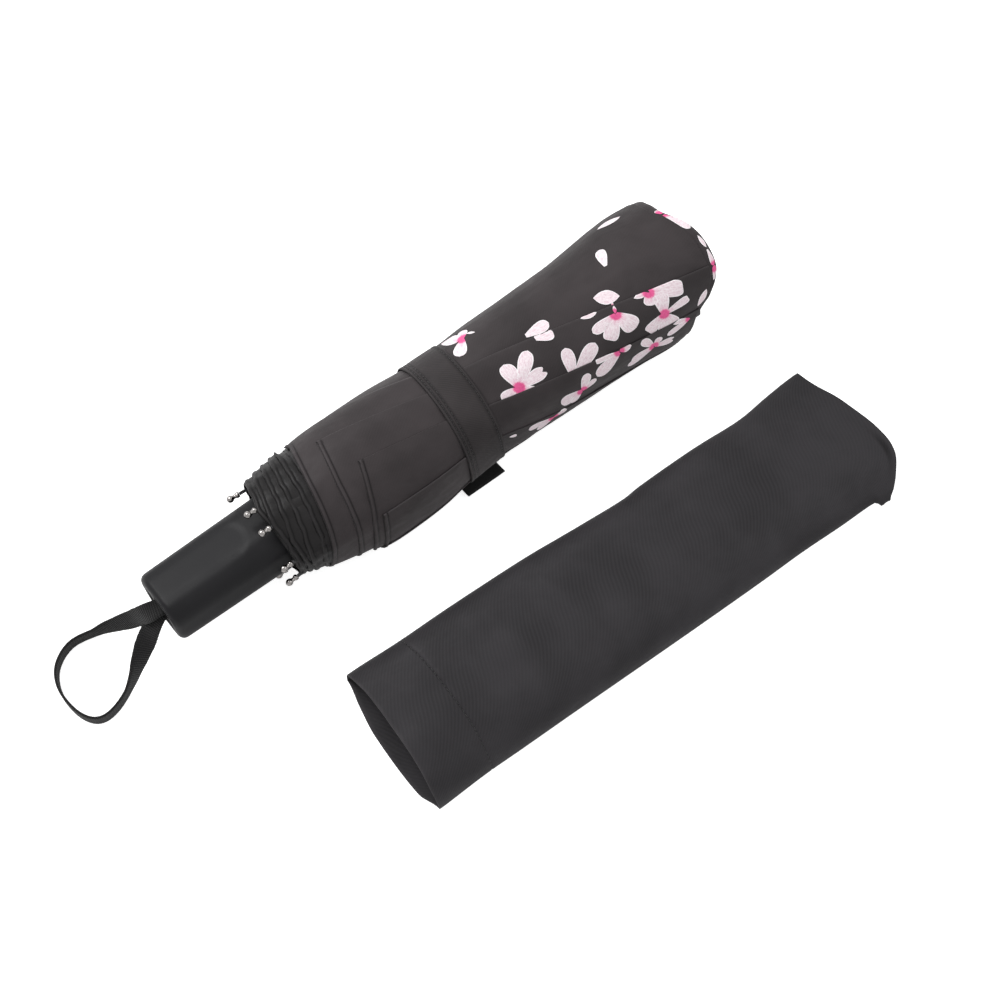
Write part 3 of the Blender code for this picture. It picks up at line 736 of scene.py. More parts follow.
def make_inner_turns():
    made = []
    for number, (radius, hem) in enumerate(INNER_TURNS):
        first_turn = 110.0
        steps = 150
        rows, coords, rim_highlights, painted_shades = [], [], [], []
        for d in HEM_DISTANCES:
            row, coord, rim = [], [], []
            for i in range(steps + 1):
                turn = first_turn - 392.0 * i / steps
                station = straight(turn, hem) + d
                wave = rough(turn / 16.0, station / 9.0, number * 5.3) * 0.6
                wave += rough(turn / 6.0, station / 5.0, number * 2.9) * 0.22
                away = (turned_between(turn, -305.0) + 125.0) / 26.0
                sag = between(station, SAG) * 0.6 * math.exp(-away * away)
                bulge = turned_between(turn, -180.0) - 65.0
                sag += 3.4 * math.exp(-((bulge / 42.0) ** 2)) * ease(1.15 - d / 12.0)
                r = radius - 0.65 * i / steps + wave * ease(1.3 - d / 30.0) + hem_rise(d) + 0.05 * d + sag
                if station > 80.0:
                    r = min(r, envelope(station, turn) - 1.1 - 0.3 * number)
                t = math.radians(turn)
                if -math.cos(t) > 0.3:
                    r = min(r, (AXIS_HEIGHT - 0.5 - 0.4 * number) / -math.cos(t))
                row.append(about(station + 0.6 * rough(turn / 11.0, number * 1.7), turn, r))
                coord.append((station * MM, math.radians(turn) * radius * MM))
                # Painted highlight along each hem's ridge.
                rim.append(0.4 * math.exp(-((d - 0.9) ** 2) / 0.4))
            rows.append(row)
            coords.append(coord)
            rim_highlights.append(rim)
            # Painted shade at each hem's edge and along its stitch groove.
            painted_shades.append([hem_painted_shade(d)] * len(row))
        piece = skin(f"inner_hem_{number + 1}", rows, SHADED_INNER_CLOTH, coords, marks={"rim": rim_highlights, "painted_shade": painted_shades})
        thicken(piece, CLOTH_THICKNESS)
        made.append(piece)
    return made


def crown_point(turn, share, lift=0.0):
    """The crown, over the rim and in to the ferrule: share 0 is inside the panels, and 1 is at the ferrule."""
    rim = rim_station(turn)
    outer = envelope(rim - 5.0, turn) - 0.9
    bend = 2.8
    run = 16.0
    t = math.radians(turn)
    pleat = 0.5 + 0.5 * math.sin(8 * t + 0.7 + 0.5 * math.sin(3 * t))
    if share < 0.3:
        station = rim - bend - run * (1 - share / 0.3)
        return about(station, turn, outer + lift + 0.25 * rough(station / 7.0, turn / 9.0))
    if share < 0.6:
        a = (share - 0.3) / 0.3 * math.pi / 2
        r = outer - bend + (bend + lift) * math.cos(a)
        return about(rim - bend + (bend + lift) * math.sin(a), turn, r + 0.25 * rough(rim / 7.0, turn / 9.0))
    inward = (share - 0.6) / 0.4
    r = (outer - bend) + (8.2 - outer + bend) * inward
    dip = 9.0 * inward**0.8 + 5.0 * pleat * math.sin(math.pi * min(inward * 1.05, 1.0)) ** 0.8
    return about(rim - dip * (rim - 268.0) / 14.0, turn + 14.0 * inward, r)


def make_crown():
    steps = 192
    shares = [i / 44 for i in range(45)]
    rows, coords, rim_highlights = [], [], []
    for share in shares:
        turns = [90.0 - 360.0 * i / steps for i in range(steps)]
        rows.append([crown_point(turn, share) for turn in turns])
        along = (260.0 + 40.0 * share) * MM
        coords.append([(along, -math.tau * i / steps * 28.0 * MM) for i in range(steps + 1)])
        # Painted highlight along the crown's bend over the rim.
        rim_highlights.append([0.25 * math.exp(-((share - 0.45) ** 2) / 0.01)] * steps)
    made = skin("canopy_crown", rows, CLOTH, coords, around=True, marks={"rim": rim_highlights})
    thicken(made, CLOTH_THICKNESS)
    return made


# Printed blossoms.

PETALS = {
    "round": [(0.0, 0.3), (0.22, 0.6), (0.5, 0.92), (0.74, 1.0), (0.92, 0.7), (1.0, 0.0)],
    "notched": [(0.0, 0.3), (0.22, 0.55), (0.5, 0.9), (0.78, 1.0), (0.96, 0.72), (1.0, 0.42), (0.9, 0.0)],
    "pointed": [(0.0, 0.0), (0.2, 0.62), (0.5, 1.0), (0.8, 0.66), (1.0, 0.0)],
    "square": [(0.0, 0.35), (0.3, 0.68), (0.62, 0.95), (0.86, 1.0), (0.99, 0.72), (1.0, 0.0)],
}
PETAL_ROWS = (1.0, 0.97, 0.93, 0.88, 0.8, 0.68, 0.5, 0.3, 0.08)


def outline_of(shape):
    """A smooth half outline through the shape's points, then its mirror."""
    points = PETALS[shape]
    half = []
    for i in range(len(points) - 1):
        a, b, c, d = (points[min(max(i + k, 0), len(points) - 1)] for k in (-1, 0, 1, 2))
        for step in range(4):
            t = step / 4
            half.append(tuple(
                b[n] + ((c[n] - a[n]) * t + (2 * a[n] - 5 * b[n] + 4 * c[n] - d[n]) * t**2
                        + (3 * b[n] - a[n] - 3 * c[n] + d[n]) * t**3) / 2
                for n in (0, 1)
            ))
    half.append(points[-1])
    mirror = [(x, -y) for x, y in half[-2::-1]]
    if half[0][1] < 0.01:
        mirror = mirror[:-1]
    return half + mirror


def petal_parts(on_surface, root, tip, half_width, shape, core=None, lift=PRINT_LIFT):
    """Rows of points from the outline in to the petal's spine, with what the shader reads at each."""
    root, tip = Vector(root), Vector(tip)
    length = (tip - root).length
    along = (tip - root) / length
    side = Vector((-along.y, along.x))
    outline = outline_of(shape)
    core = Vector(core) if core is not None else None
    points, faces, coords, petals, edges, cores = [], [], [], [], [], []
    count = len(outline)
    for scale in PETAL_ROWS:
        for x, y in outline:
            middle = 0.12 + 0.76 * x
            spot_x = middle + (x - middle) * scale
            spot_y = y * scale
            flat = root + along * (spot_x * length) + side * (spot_y * half_width)
            points.append(on_surface(flat.x, flat.y, lift))
            coords.append((flat.x * MM, flat.y * MM))
            petals.append((spot_x * length / 6.0, spot_y * 0.5 + 0.5))
            inset = (1 - scale) * min(half_width, length / 2)
            edges.append(inset)
            cores.append((flat - core).length if core is not None else 9.0)
    for row in range(len(PETAL_ROWS) - 1):
        for i in range(count):
            j = (i + 1) % count
            a = row * count
            b = a + count
            faces.append((a + i, a + j, b + j, b + i))
    start = (len(PETAL_ROWS) - 1) * count
    mirror = count if outline[0][1] < 0.01 else count - 1
    for i in range((count - 1) // 2):
        ring = [start + i, start + i + 1, start + (mirror - i - 1) % count, start + (mirror - i) % count]
        faces.append(tuple(dict.fromkeys(ring)))
    return points, faces, coords, petals, edges, cores


def print_mesh(name, parts):
    """One mesh from many petals."""
    points, faces, coords, petals, edges, cores = [], [], [], [], [], []
    for part in parts:
        start = len(points)
        points += part[0]
        faces += [tuple(start + i for i in face) for face in part[1]]
        coords += part[2]
        petals += part[3]
        edges += part[4]
        cores += part[5]
    mesh = bpy.data.meshes.new(name)
    mesh.from_pydata(points, [], faces)
    for label, values in (("cloth", coords), ("petal", petals)):
        layer = mesh.uv_layers.new(name=label)
        for loop in mesh.loops:
            layer.data[loop.index].uv = values[loop.vertex_index]
    for label, values in (("edge", edges), ("core", cores)):
        mesh.attributes.new(label, "FLOAT", "POINT").data.foreach_set("value", values)
    mesh.shade_smooth()
    mesh.materials.append(BLOSSOM)
    made = bpy.data.objects.new(name, mesh)
    bpy.context.scene.collection.objects.link(made)
    return made


# Each blossom: its panel, its heart, and its petals as (root, tip, half width, shape).
# A place is a station and a distance from the panel's fold edge.
BLOSSOMS = [
    (1, (175.5, 19.5), [
        ((175.5, 19.5), (168.5, 9.0), 3.4, "pointed"),
        ((175.5, 19.5), (168.5, 27.0), 3.2, "round"),
        ((174.5, 20.0), (179.0, 14.0), 2.5, "round"),
        ((178.5, 18.0), (181.5, 21.5), 0.7, "pointed"),
    ]),
    (1, None, [((256.8, 13.6), (268.4, 11.0), 2.1, "pointed")]),
    (1, None, [((246.0, 35.5), (249.0, 26.5), 2.6, "round")]),
    (1, None, [((197.0, 39.3), (209.0, 40.2), 2.7, "round")]),
    (1, (236.6, 54.0), [
        ((242.6, 51.0), (232.0, 43.5), 3.2, "pointed"),
        ((237.0, 53.6), (238.3, 49.6), 0.5, "pointed"),
    ]),
    (2, None, [((199.4, 1.0), (207.8, 0.9), 3.2, "round")]),
    (2, None, [((221.6, 0.2), (229.4, 0.2), 1.4, "pointed")]),
    (2, (236.2, 4.3), [
        ((236.2, 4.3), (242.2, 14.4), 4.6, "round"),
        ((236.2, 4.3), (228.4, 14.7), 3.6, "square"),
        ((236.2, 4.3), (222.9, 8.5), 2.5, "round"),
        ((236.4, 4.0), (237.6, 0.3), 0.8, "pointed"),
    ]),
    (2, (254.5, 0.6), [
        ((254.5, 0.6), (247.3, 0.6), 1.3, "pointed"),
        ((254.5, 0.6), (253.1, 6.9), 3.2, "round"),
        ((254.5, 0.8), (270.2, 4.6), 4.1, "square"),
    ]),
    (2, (257.3, 14.2), [
        ((257.3, 14.2), (258.7, 3.6), 3.7, "square"),
        ((257.6, 14.2), (271.0, 11.4), 2.2, "square"),
        ((257.0, 14.2), (247.3, 20.2), 3.4, "square"),
        ((257.3, 14.2), (262.5, 24.4), 3.0, "round"),
        ((257.2, 14.2), (255.3, 24.9), 3.6, "round"),
    ]),
    (2, (181.6, 19.0), [
        ((181.6, 19.0), (181.0, 6.4), 3.6, "round"),
        ((181.7, 18.8), (193.6, 4.7), 3.1, "round"),
        ((181.6, 19.0), (195.5, 16.0), 3.2, "notched"),
        ((181.8, 19.0), (188.5, 27.4), 3.6, "round"),
        ((181.4, 19.1), (172.2, 20.8), 2.7, "round"),
        ((181.5, 19.2), (179.3, 25.0), 2.7, "round"),
    ]),
    (2, (205.5, 26.2), [
        ((205.8, 25.9), (208.5, 9.9), 3.0, "round"),
        ((206.2, 25.9), (221.7, 12.9), 3.5, "round"),
    ]),
    (2, None, [((274.7, 19.8), (281.0, 11.3), 1.8, "pointed")]),
    (3, (230.5, 0.7), [
        ((230.4, 0.7), (218.3, 0.9), 1.5, "square"),
        ((230.2, 0.9), (217.1, 10.2), 3.8, "round"),
        ((230.5, 0.6), (237.1, 0.3), 2.2, "pointed"),
    ]),
    (3, (208.5, 15.2), [
        ((208.6, 15.3), (212.6, 4.6), 2.5, "round"),
        ((208.7, 15.3), (216.3, 11.1), 1.8, "round"),
        ((208.4, 15.2), (196.9, 17.5), 4.0, "round"),
        ((208.0, 15.4), (202.4, 21.4), 2.2, "round"),
    ]),
    (3, (248.7, 10.0), [
        ((248.6, 9.8), (235.9, 12.0), 2.6, "round"),
        ((248.4, 9.4), (242.7, 0.6), 2.5, "round"),
        ((248.9, 9.9), (252.6, 5.0), 2.2, "round"),
        ((249.2, 10.2), (259.8, 12.2), 2.6, "notched"),
        ((248.6, 10.3), (234.0, 16.0), 2.6, "round"),
    ]),
    (3, (269.7, 2.4), [
        ((269.3, 2.4), (256.3, 6.6), 2.0, "round"),
        ((268.8, 1.8), (260.0, 0.6), 1.5, "pointed"),
    ]),
    (4, (192.1, 2.8), [
        ((192.1, 2.6), (199.4, 0.6), 1.7, "round"),
        ((192.1, 2.8), (178.6, 3.2), 2.4, "round"),
        ((192.1, 2.8), (183.3, 8.2), 1.8, "round"),
    ]),
    (4, None, [((169.0, 2.6), (172.5, 3.4), 1.0, "round")]),
]

# The same on the crown, as millimetres over its rim and millimetres round it.
RIM_BLOSSOMS = [
    ((0.6, -10.0), [((0.6, -10.0), (0.8, -13.5), 1.5, "round"), ((0.2, -9.0), (0.6, 3.5), 2.0, "round")]),
    (None, [((0.6, 8.0), (0.8, 15.0), 1.0, "pointed")]),
    ((0.4, 25.0), [((0.6, 16.0), (0.4, 24.5), 1.2, "round"), ((0.2, 31.5), (0.4, 24.5), 1.2, "round")]),
]


def crown_over(over, across, lift):
    """A point of the crown's rim."""
    share = 0.3 + 0.3 * over / (4.4 if over > 0 else 16.0)
    return crown_point(-math.degrees(across / PRINT_RADIUS), share, lift)


def make_blossoms(sheets):
    """The printed petals of each panel, and of the crown under number 0."""
    made = {}
    for number in sorted({row[0] for row in BLOSSOMS}):
        parts = []
        for panel, heart, petals in BLOSSOMS:
            if panel == number:
                parts += [petal_parts(sheets[number - 1].place, *petal, core=heart) for petal in petals]
        made[number] = print_mesh(f"blossoms_{number}", parts)
    parts = []
    for heart, petals in RIM_BLOSSOMS:
        parts += [petal_parts(crown_over, *petal, core=heart) for petal in petals]
    made[0] = print_mesh("blossoms_crown", parts)
    return made


# Strap.


def strap_radius(station, turn):
    return envelope(station, turn) + 0.55


def make_strap():
    """The closure strap: a folded band, turned in at both edges."""
    first, last = STRAP_FIRST, STRAP_LAST
    width = last - first
    profile = [
        (0.0, -0.5), (0.12, -0.1), (0.45, 0.18), (1.1, 0.24), (1.5, 0.05), (1.75, 0.0), (2.0, 0.06),
        (2.6, 0.16), (3.3, 0.12), (3.6, 0.0), (3.9, 0.08), (5.0, 0.2), (width / 2, 0.25),
        (width - 3.4, 0.2), (width - 1.9, 0.1), (width - 1.6, -0.02), (width - 1.3, 0.1),
        (width - 0.8, 0.22), (width - 0.3, 0.1), (width - 0.08, -0.15), (width, -0.5),
    ]
    turns = [90.0 - 360.0 * i / 144 for i in range(144)]
    rows, coords, rim_highlights, painted_shades = [], [], [], []
    for d, rise in profile:
        row = []
        for turn in turns:
            t = math.radians(turn)
            r = strap_radius(first + d, turn) + rise + 0.12 * rough(d / 4.0, turn / 11.0)
            if -math.cos(t) > 0.5:
                r = min(r, (AXIS_HEIGHT - 0.02) / -math.cos(t))
            lean = 1.2 * math.sin(math.radians(turn - 20.0))
            row.append(about(first + d + lean * 0.35, turn, r))
        rows.append(row)
        coords.append([(d * MM, -math.tau * i / 144 * 28.0 * MM) for i in range(145)])
        # Painted highlight along both turned-in edges of the strap.
        near_edge_highlight = 0.3 * math.exp(-((d - 0.3) ** 2) / 0.1)
        far_edge_highlight = 0.3 * math.exp(-((width - d - 0.3) ** 2) / 0.1)
        rim_highlights.append([near_edge_highlight + far_edge_highlight] * 144)
        # Painted shade at both edges of the strap and along its stitch grooves.
        dark = max(math.exp(-(((d - line) / 0.3) ** 2)) for line in (0.0, 1.75, 3.6, width - 1.6, width))
        painted_shades.append([dark] * 144)
    made = skin("strap_band", rows, STRAP_CLOTH, coords, around=True, marks={"rim": rim_highlights, "painted_shade": painted_shades})
    thicken(made, 0.3)
    return made


def dash(start, end, up, radius=0.16):
    """A stitch: a little bolster from one point to another."""
    along = (end - start).normalized()
    side = along.cross(up).normalized()
    points = []
    for share, size in ((0.0, 0.35), (0.15, 0.9), (0.85, 0.9), (1.0, 0.35)):
        centre = start.lerp(end, share)
        for k in range(6):
            t = math.tau * k / 6
            points.append(centre + (side * math.cos(t) + up * math.sin(t) * 0.7) * radius * size * MM)
    faces = [tuple(range(6))[::-1], tuple(range(18, 24))]
    for row in range(3):
        for k in range(6):
            j = (k + 1) % 6
            faces.append((row * 6 + k, row * 6 + j, (row + 1) * 6 + j, (row + 1) * 6 + k))
    return points, faces


def stitches(name, path, normals, length=1.9, gap=0.5, radius=0.16, finish=None):
    """Stitches at equal steps along a path of points."""
    parts = []
    left = length
    start = None
    for i in range(len(path) - 1):
        a, b = path[i], path[i + 1]
        span = (b - a).length / MM
        spot = 0.0
        while spot < span:
            step = min(left, span - spot)
            spot += step
            left -= step
            if left <= 1e-9:
                here = a.lerp(b, spot / span)
                if start is None:
                    start = here
                    left = length
                else:
                    parts.append(dash(start, here, normals[i], radius))
                    start = None
                    left = gap
    return joined(name, parts, finish or THREAD)


def strap_stitches():
    made = []
    for number, d in enumerate((1.75, 3.6, STRAP_LAST - STRAP_FIRST - 1.6)):
        turns = [90.0 - 360.0 * i / 180 for i in range(181)]
        path, normals = [], []
        for turn in turns:
            t = math.radians(turn)
            r = strap_radius(STRAP_FIRST + d, turn) + 0.1 + 0.12 * rough(d / 4.0, turn / 11.0)
            if -math.cos(t) > 0.5:
                r = min(r, (AXIS_HEIGHT - 0.05) / -math.cos(t))
            lean = 1.2 * math.sin(math.radians(turn - 20.0))
            path.append(about(STRAP_FIRST + d + lean * 0.35, turn, r))
            normals.append((about(0, turn, 1.0) - about(0, turn, 0.0)).normalized())
        made.append(stitches(f"strap_stitches_{number + 1}", path, normals, gap=0.35, radius=0.13))
    return made


def make_tab():
    """The strap's free end with its hook tape, flat on the floor and curling up at its tip."""
    low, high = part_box("strap_tab")
    hinge_y = high[1]
    reach = high[1] - low[1]
    rows, coords = [], []
    for i in range(13):
        share = i / 12
        y = hinge_y - reach * share
        curl = 2.2 * max(0.0, share - 0.45) ** 2 * 4 * MM
        row, coord = [], []
        for j in range(15):
            side = j / 14
            x = low[0] + (high[0] - low[0]) * side
            wave = 0.12 * rough(side * 3.0, share * 3.0, 4.0) * MM
            fray = 0.15 * rough(side * 40.0, 1.0) * MM if i == 12 else 0.0
            row.append(Vector((x, y + fray, curl + wave + 0.25 * MM)))
            coord.append((x, y))
        rows.append(row)
        coords.append(coord)
    made = skin("strap_hook_tab", rows, HOOK_CLOTH, coords)
    thicken(made, 0.9)
    return made


# Handle.

# Its rounding radius, and how far it is turned about the shaft.
GRIP_CORNER = 10.8
HANDLE_TILT = -16.0


def handle_section(station, half_width, half_height, corner, steps=10):
    """A rounded rectangle about the shaft, turned by the handle's tilt."""
    tilt = math.radians(HANDLE_TILT)
    c, s = math.cos(tilt), math.sin(tilt)
    ring = []
    for side_y, side_z, start in ((1, 1, 0.0), (-1, 1, 90.0), (-1, -1, 180.0), (1, -1, 270.0)):
        for k in range(steps + 1):
            t = math.radians(start + 90.0 * k / steps)
            y = side_y * (half_width - corner) + corner * math.cos(t)
            z = side_z * (half_height - corner) + corner * math.sin(t)
            ring.append((y, z))
        flat = 6
        for k in range(1, flat):
            share = k / flat
            if start == 0.0:
                ring.append(((half_width - corner) * (1 - 2 * share), half_height))
            elif start == 90.0:
                ring.append((-half_width, (half_height - corner) * (1 - 2 * share)))
            elif start == 180.0:
                ring.append((-(half_width - corner) * (1 - 2 * share), -half_height))
            else:
                ring.append((half_width, -(half_height - corner) * (1 - 2 * share)))
    return [place(station, y * c - z * s, y * s + z * c) for y, z in ring], ring


def make_grip():
    """The grip, with a shallow thumb facet on its upper face."""
    length = (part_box("handle_grip")[1][0] - HANDLE_END_X) / MM
    tilt = math.radians(HANDLE_TILT)
    c, s = math.cos(tilt), math.sin(tilt)
    rows = []

    def facet(station, y, z):
        """How deep the thumb facet is here."""
        if z < 8.0:
            return 0.0
        half = 10.3
        end = 48.0
        reach = station - (end - half)
        inside = half - abs(y) if reach < 0 else half - math.hypot(y, reach)
        return 0.38 * ease(inside / 0.9)

    stations = [length, length - 0.4]
    stations += [length - 1.0 - (length - 5.0) * i / 60 for i in range(61)]
    for station in stations:
        share = station / length
        wide = 16.0 + 0.7 * share
        high = 13.6 + 0.6 * share
        inset = 0.35 if station == length else 0.0
        _, ring = handle_section(station, wide - inset, high - inset, GRIP_CORNER - inset)
        row = []
        for y, z in ring:
            z -= facet(station, y, z)
            row.append(place(station, y * c - z * s, y * s + z * c))
        rows.append(row)
    for step in range(9):
        turn = math.radians(90.0 * step / 8)
        inset = 3.2 * (1 - math.cos(turn))
        station = 3.2 * (1 - math.sin(turn))
        wide, high = 16.0 - inset, 13.6 - inset
        _, ring = handle_section(station, wide, high, GRIP_CORNER - inset)
        row = []
        for y, z in ring:
            z -= facet(station, y, z) * (1 - step / 8)
            row.append(place(station, y * c - z * s, y * s + z * c))
        rows.append(row)
    socket = ((0.0, 10.0, 6.4, 1.6), (0.0, 9.5, 5.9, 1.2), (0.6, 9.3, 5.7, 1.0), (12.0, 9.3, 5.7, 1.0))
    for station, wide, high, corner in socket:
        points, _ = handle_section(station, wide, high, corner)
        rows.append(points)
    made = skin("grip_shell", rows, GRIP, around=True)
    made.data.flip_normals()
    return made


def make_grip_mouth():
    """The grip's upper end face, round the tube."""
    length = (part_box("handle_grip")[1][0] - HANDLE_END_X) / MM
    outer, _ = handle_section(length, 16.35, 13.85, GRIP_CORNER - 0.35)
    rows = [outer]
    for radius, station in ((4.6, length), (4.35, length - 0.3), (4.3, length - 12.0)):
        ring = []
        for point in outer:
            y, z = point.y / MM, (point.z - AXIS_Z) / MM
            size = math.hypot(y, z)
            ring.append(place(station, y / size * radius, z / size * radius))
        rows.append(ring)
    made = skin("grip_mouth", rows, GRIP, around=True)
    return made


def make_end_cap():
    """The plate in the handle's end, with its slot for the loop."""
    rows = []
    sizes = [(3.0, 9.05, 5.45, 0.9), (0.75, 9.05, 5.45, 0.9), (0.5, 8.8, 5.2, 0.8), (0.5, 5.8, 3.6, 1.2),
             (0.75, 5.4, 3.2, 1.0), (12.0, 5.4, 3.2, 1.0)]
    for station, wide, high, corner in sizes:
        points, _ = handle_section(station, wide, high, corner)
        rows.append(points)
    made = skin("loop_end_cap", rows, CAP, around=True)
    return made


# Wrist loop.

LOOP_WIDTH = 9.0
LOOP_THICKNESS = 1.2


def on_curve(points, spot):
    """A point on the closed Catmull-Rom curve through the points."""
    first = math.floor(spot)
    t = spot - first
    a, b, c, d = (Vector(points[(first + k) % len(points)]) for k in (-1, 0, 1, 2))
    pull = (c - a) * t + (2 * a - 5 * b + 4 * c - d) * t**2 + (3 * b - a - 3 * c + d) * t**3
    return b + pull / 2


def loop_route():
    """The webbing's way: round the pin, out of the handle's end, down, and round on its edge on the floor."""
    floor = LOOP_WIDTH / 2 - AXIS_HEIGHT
    bend = 1.0 + 0.3 + LOOP_THICKNESS / 2
    pin = 6.0
    aside = bend * math.sin(math.radians(16.0))
    up = bend * math.cos(math.radians(16.0))
    return [
        ((pin + bend, 0.0, 0.0), 0.0),
        ((pin, aside, up), 0.0),
        ((0.0, aside, up), 0.0),
        ((-6.0, 2.6, -1.5), 0.2),
        ((-13.0, 8.2, -12.0), 0.6),
        ((-25.5, 16.0, floor + 0.9), 0.97),
        ((-38.8, 18.4, floor), 1.0),
        ((-49.4, 13.2, floor), 1.0),
        ((-54.4, 3.2, floor), 1.0),
        ((-53.6, -9.5, floor), 1.0),
        ((-48.7, -17.3, floor), 1.0),
        ((-40.5, -18.3, floor), 1.0),
        ((-28.8, -13.6, floor + 0.9), 0.97),
        ((-15.0, -6.0, -13.0), 0.6),
        ((-6.5, -2.2, -6.0), 0.2),
        ((0.0, -aside, -up), 0.0),
        ((pin, -aside, -up), 0.0),
    ]


def make_loop():
    """The whole webbing in one closed band, with round edges."""
    route = loop_route()
    centres = [p for p, _ in route]
    turns = [(t, 0.0, 0.0) for _, t in route]
    half, thick = LOOP_WIDTH / 2, LOOP_THICKNESS / 2
    section = [
        (-half, 0.0), (-half + 0.12, 0.6), (-half + 0.5, 1.0), (-half * 0.6, 0.92), (-half * 0.3, 1.0),
        (0.0, 0.95), (half * 0.3, 1.0), (half * 0.6, 0.92), (half - 0.5, 1.0), (half - 0.12, 0.6), (half, 0.0),
    ]
    section += [(w, -t) for w, t in section[-2:0:-1]]
    steps = len(route) * 16
    rows, coords = [], []
    length = 0.0
    before = None
    for i in range(steps + 1):
        spot = len(route) * (i % steps) / steps
        point = on_curve(centres, spot)
        along = (on_curve(centres, spot + 0.05) - on_curve(centres, spot - 0.05)).normalized()
        turn = min(max(on_curve(turns, spot).x, 0.0), 1.0)
        lean = math.radians(106.0 * turn - 16.0)
        width = Vector((0.0, math.cos(lean), math.sin(lean)))
        width = (width - along * width.dot(along)).normalized()
        face = along.cross(width)
        length += (point - before).length if before is not None else 0.0
        before = point
        scallop = 0.08 * math.sin(length * math.tau / 1.1)
        row = []
        for w, t in section:
            edge = w / half
            p = point + width * (w + scallop * edge) + face * (t * thick)
            row.append(place(p.x, p.y, max(p.z, 0.02 - AXIS_HEIGHT)))
        rows.append(row)
        wide = [w for w, _ in section] + [section[0][0]]
        coords.append([(length * MM, w * MM) for w in wide])
    made = skin("loop_webbing_band", rows, WEBBING, coords, around=True)
    return made


# Sleeve.

SLEEVE_LOW, SLEEVE_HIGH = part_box("sleeve")


# The bag's outline seen from above, as (station, distance towards +Y), and how high its upper layer stands.
SLEEVE_FAR = [
    (49.0, -66.8), (78.0, -68.0), (105.0, -68.5), (147.0, -70.2), (174.0, -72.6), (198.0, -74.2),
    (206.0, -73.6),
    (232.0, -73.6), (244.0, -74.0), (265.0, -74.9), (282.0, -73.2), (301.0, -72.0),
]
SLEEVE_NEAR = [
    (48.0, -138.0), (73.0, -137.5), (93.0, -138.0), (125.0, -138.7), (159.0, -139.6), (192.0, -140.4),
    (226.0, -141.0), (248.0, -141.1), (271.0, -142.0), (285.0, -142.2), (291.0, -142.8), (296.0, -145.8),
]
SLEEVE_HEIGHT = [
    (46.0, 19.0), (80.0, 18.6), (140.0, 17.6), (210.0, 15.5), (255.0, 12.5), (285.0, 8.5), (312.0, 3.2),
]
MOUTH_UPPER = [(-138.0, 47.9), (-132.0, 48.3), (-121.0, 49.7), (-104.0, 50.6), (-84.0, 50.9), (-67.0, 49.6)]
MOUTH_LOWER = [(-138.0, 47.9), (-127.0, 44.5), (-95.0, 44.6), (-80.0, 47.0), (-67.0, 49.6)]
CLOSED_END = [
    (-146.0, 296.0), (-142.5, 300.4), (-138.0, 305.4), (-130.0, 311.8), (-118.5, 313.6), (-96.0, 309.0),
    (-72.0, 301.4),
]
SLEEVE_HEM = 29.0
SLEEVE_ROUND = 96


def sleeve_point(share, i, inset):
    """A point of the bag: share runs from the mouth to the closed end, and i round it from the +Y edge."""
    t = math.tau * i / SLEEVE_ROUND
    upper = math.sin(t) >= 0
    guess = 46.0 + 260.0 * share
    for _ in range(3):
        far = between(guess, SLEEVE_FAR) - inset
        near = between(guess, SLEEVE_NEAR) + inset
        side = math.cos(t)
        y = (far + near) / 2 + (far - near) / 2 * math.copysign(abs(side) ** 0.8, side)
        mouth = between(y, MOUTH_UPPER if upper else MOUTH_LOWER)
        guess = mouth + (between(y, CLOSED_END) - mouth) * share
    tall = between(guess, SLEEVE_HEIGHT) - inset
    floor = 0.15 + inset
    reach = abs(2 * y - far - near) / (far - near)
    power = 4.2 if side > 0 else 2.3
    arch = max(0.0, 1 - reach**power) ** (1 / power)
    if upper:
        wrinkle = 0.9 * rough(guess / 55.0, y / 13.0, 1.0)
        wrinkle += 0.5 * rough(guess / 16.0 + y / 30.0, y / 11.0, 2.0)
        return guess, y, floor + (tall - floor) * arch + wrinkle * arch
    return guess, y, floor + 0.25 * (1 - arch)


def sleeve_share(distance):
    return distance / 260.0


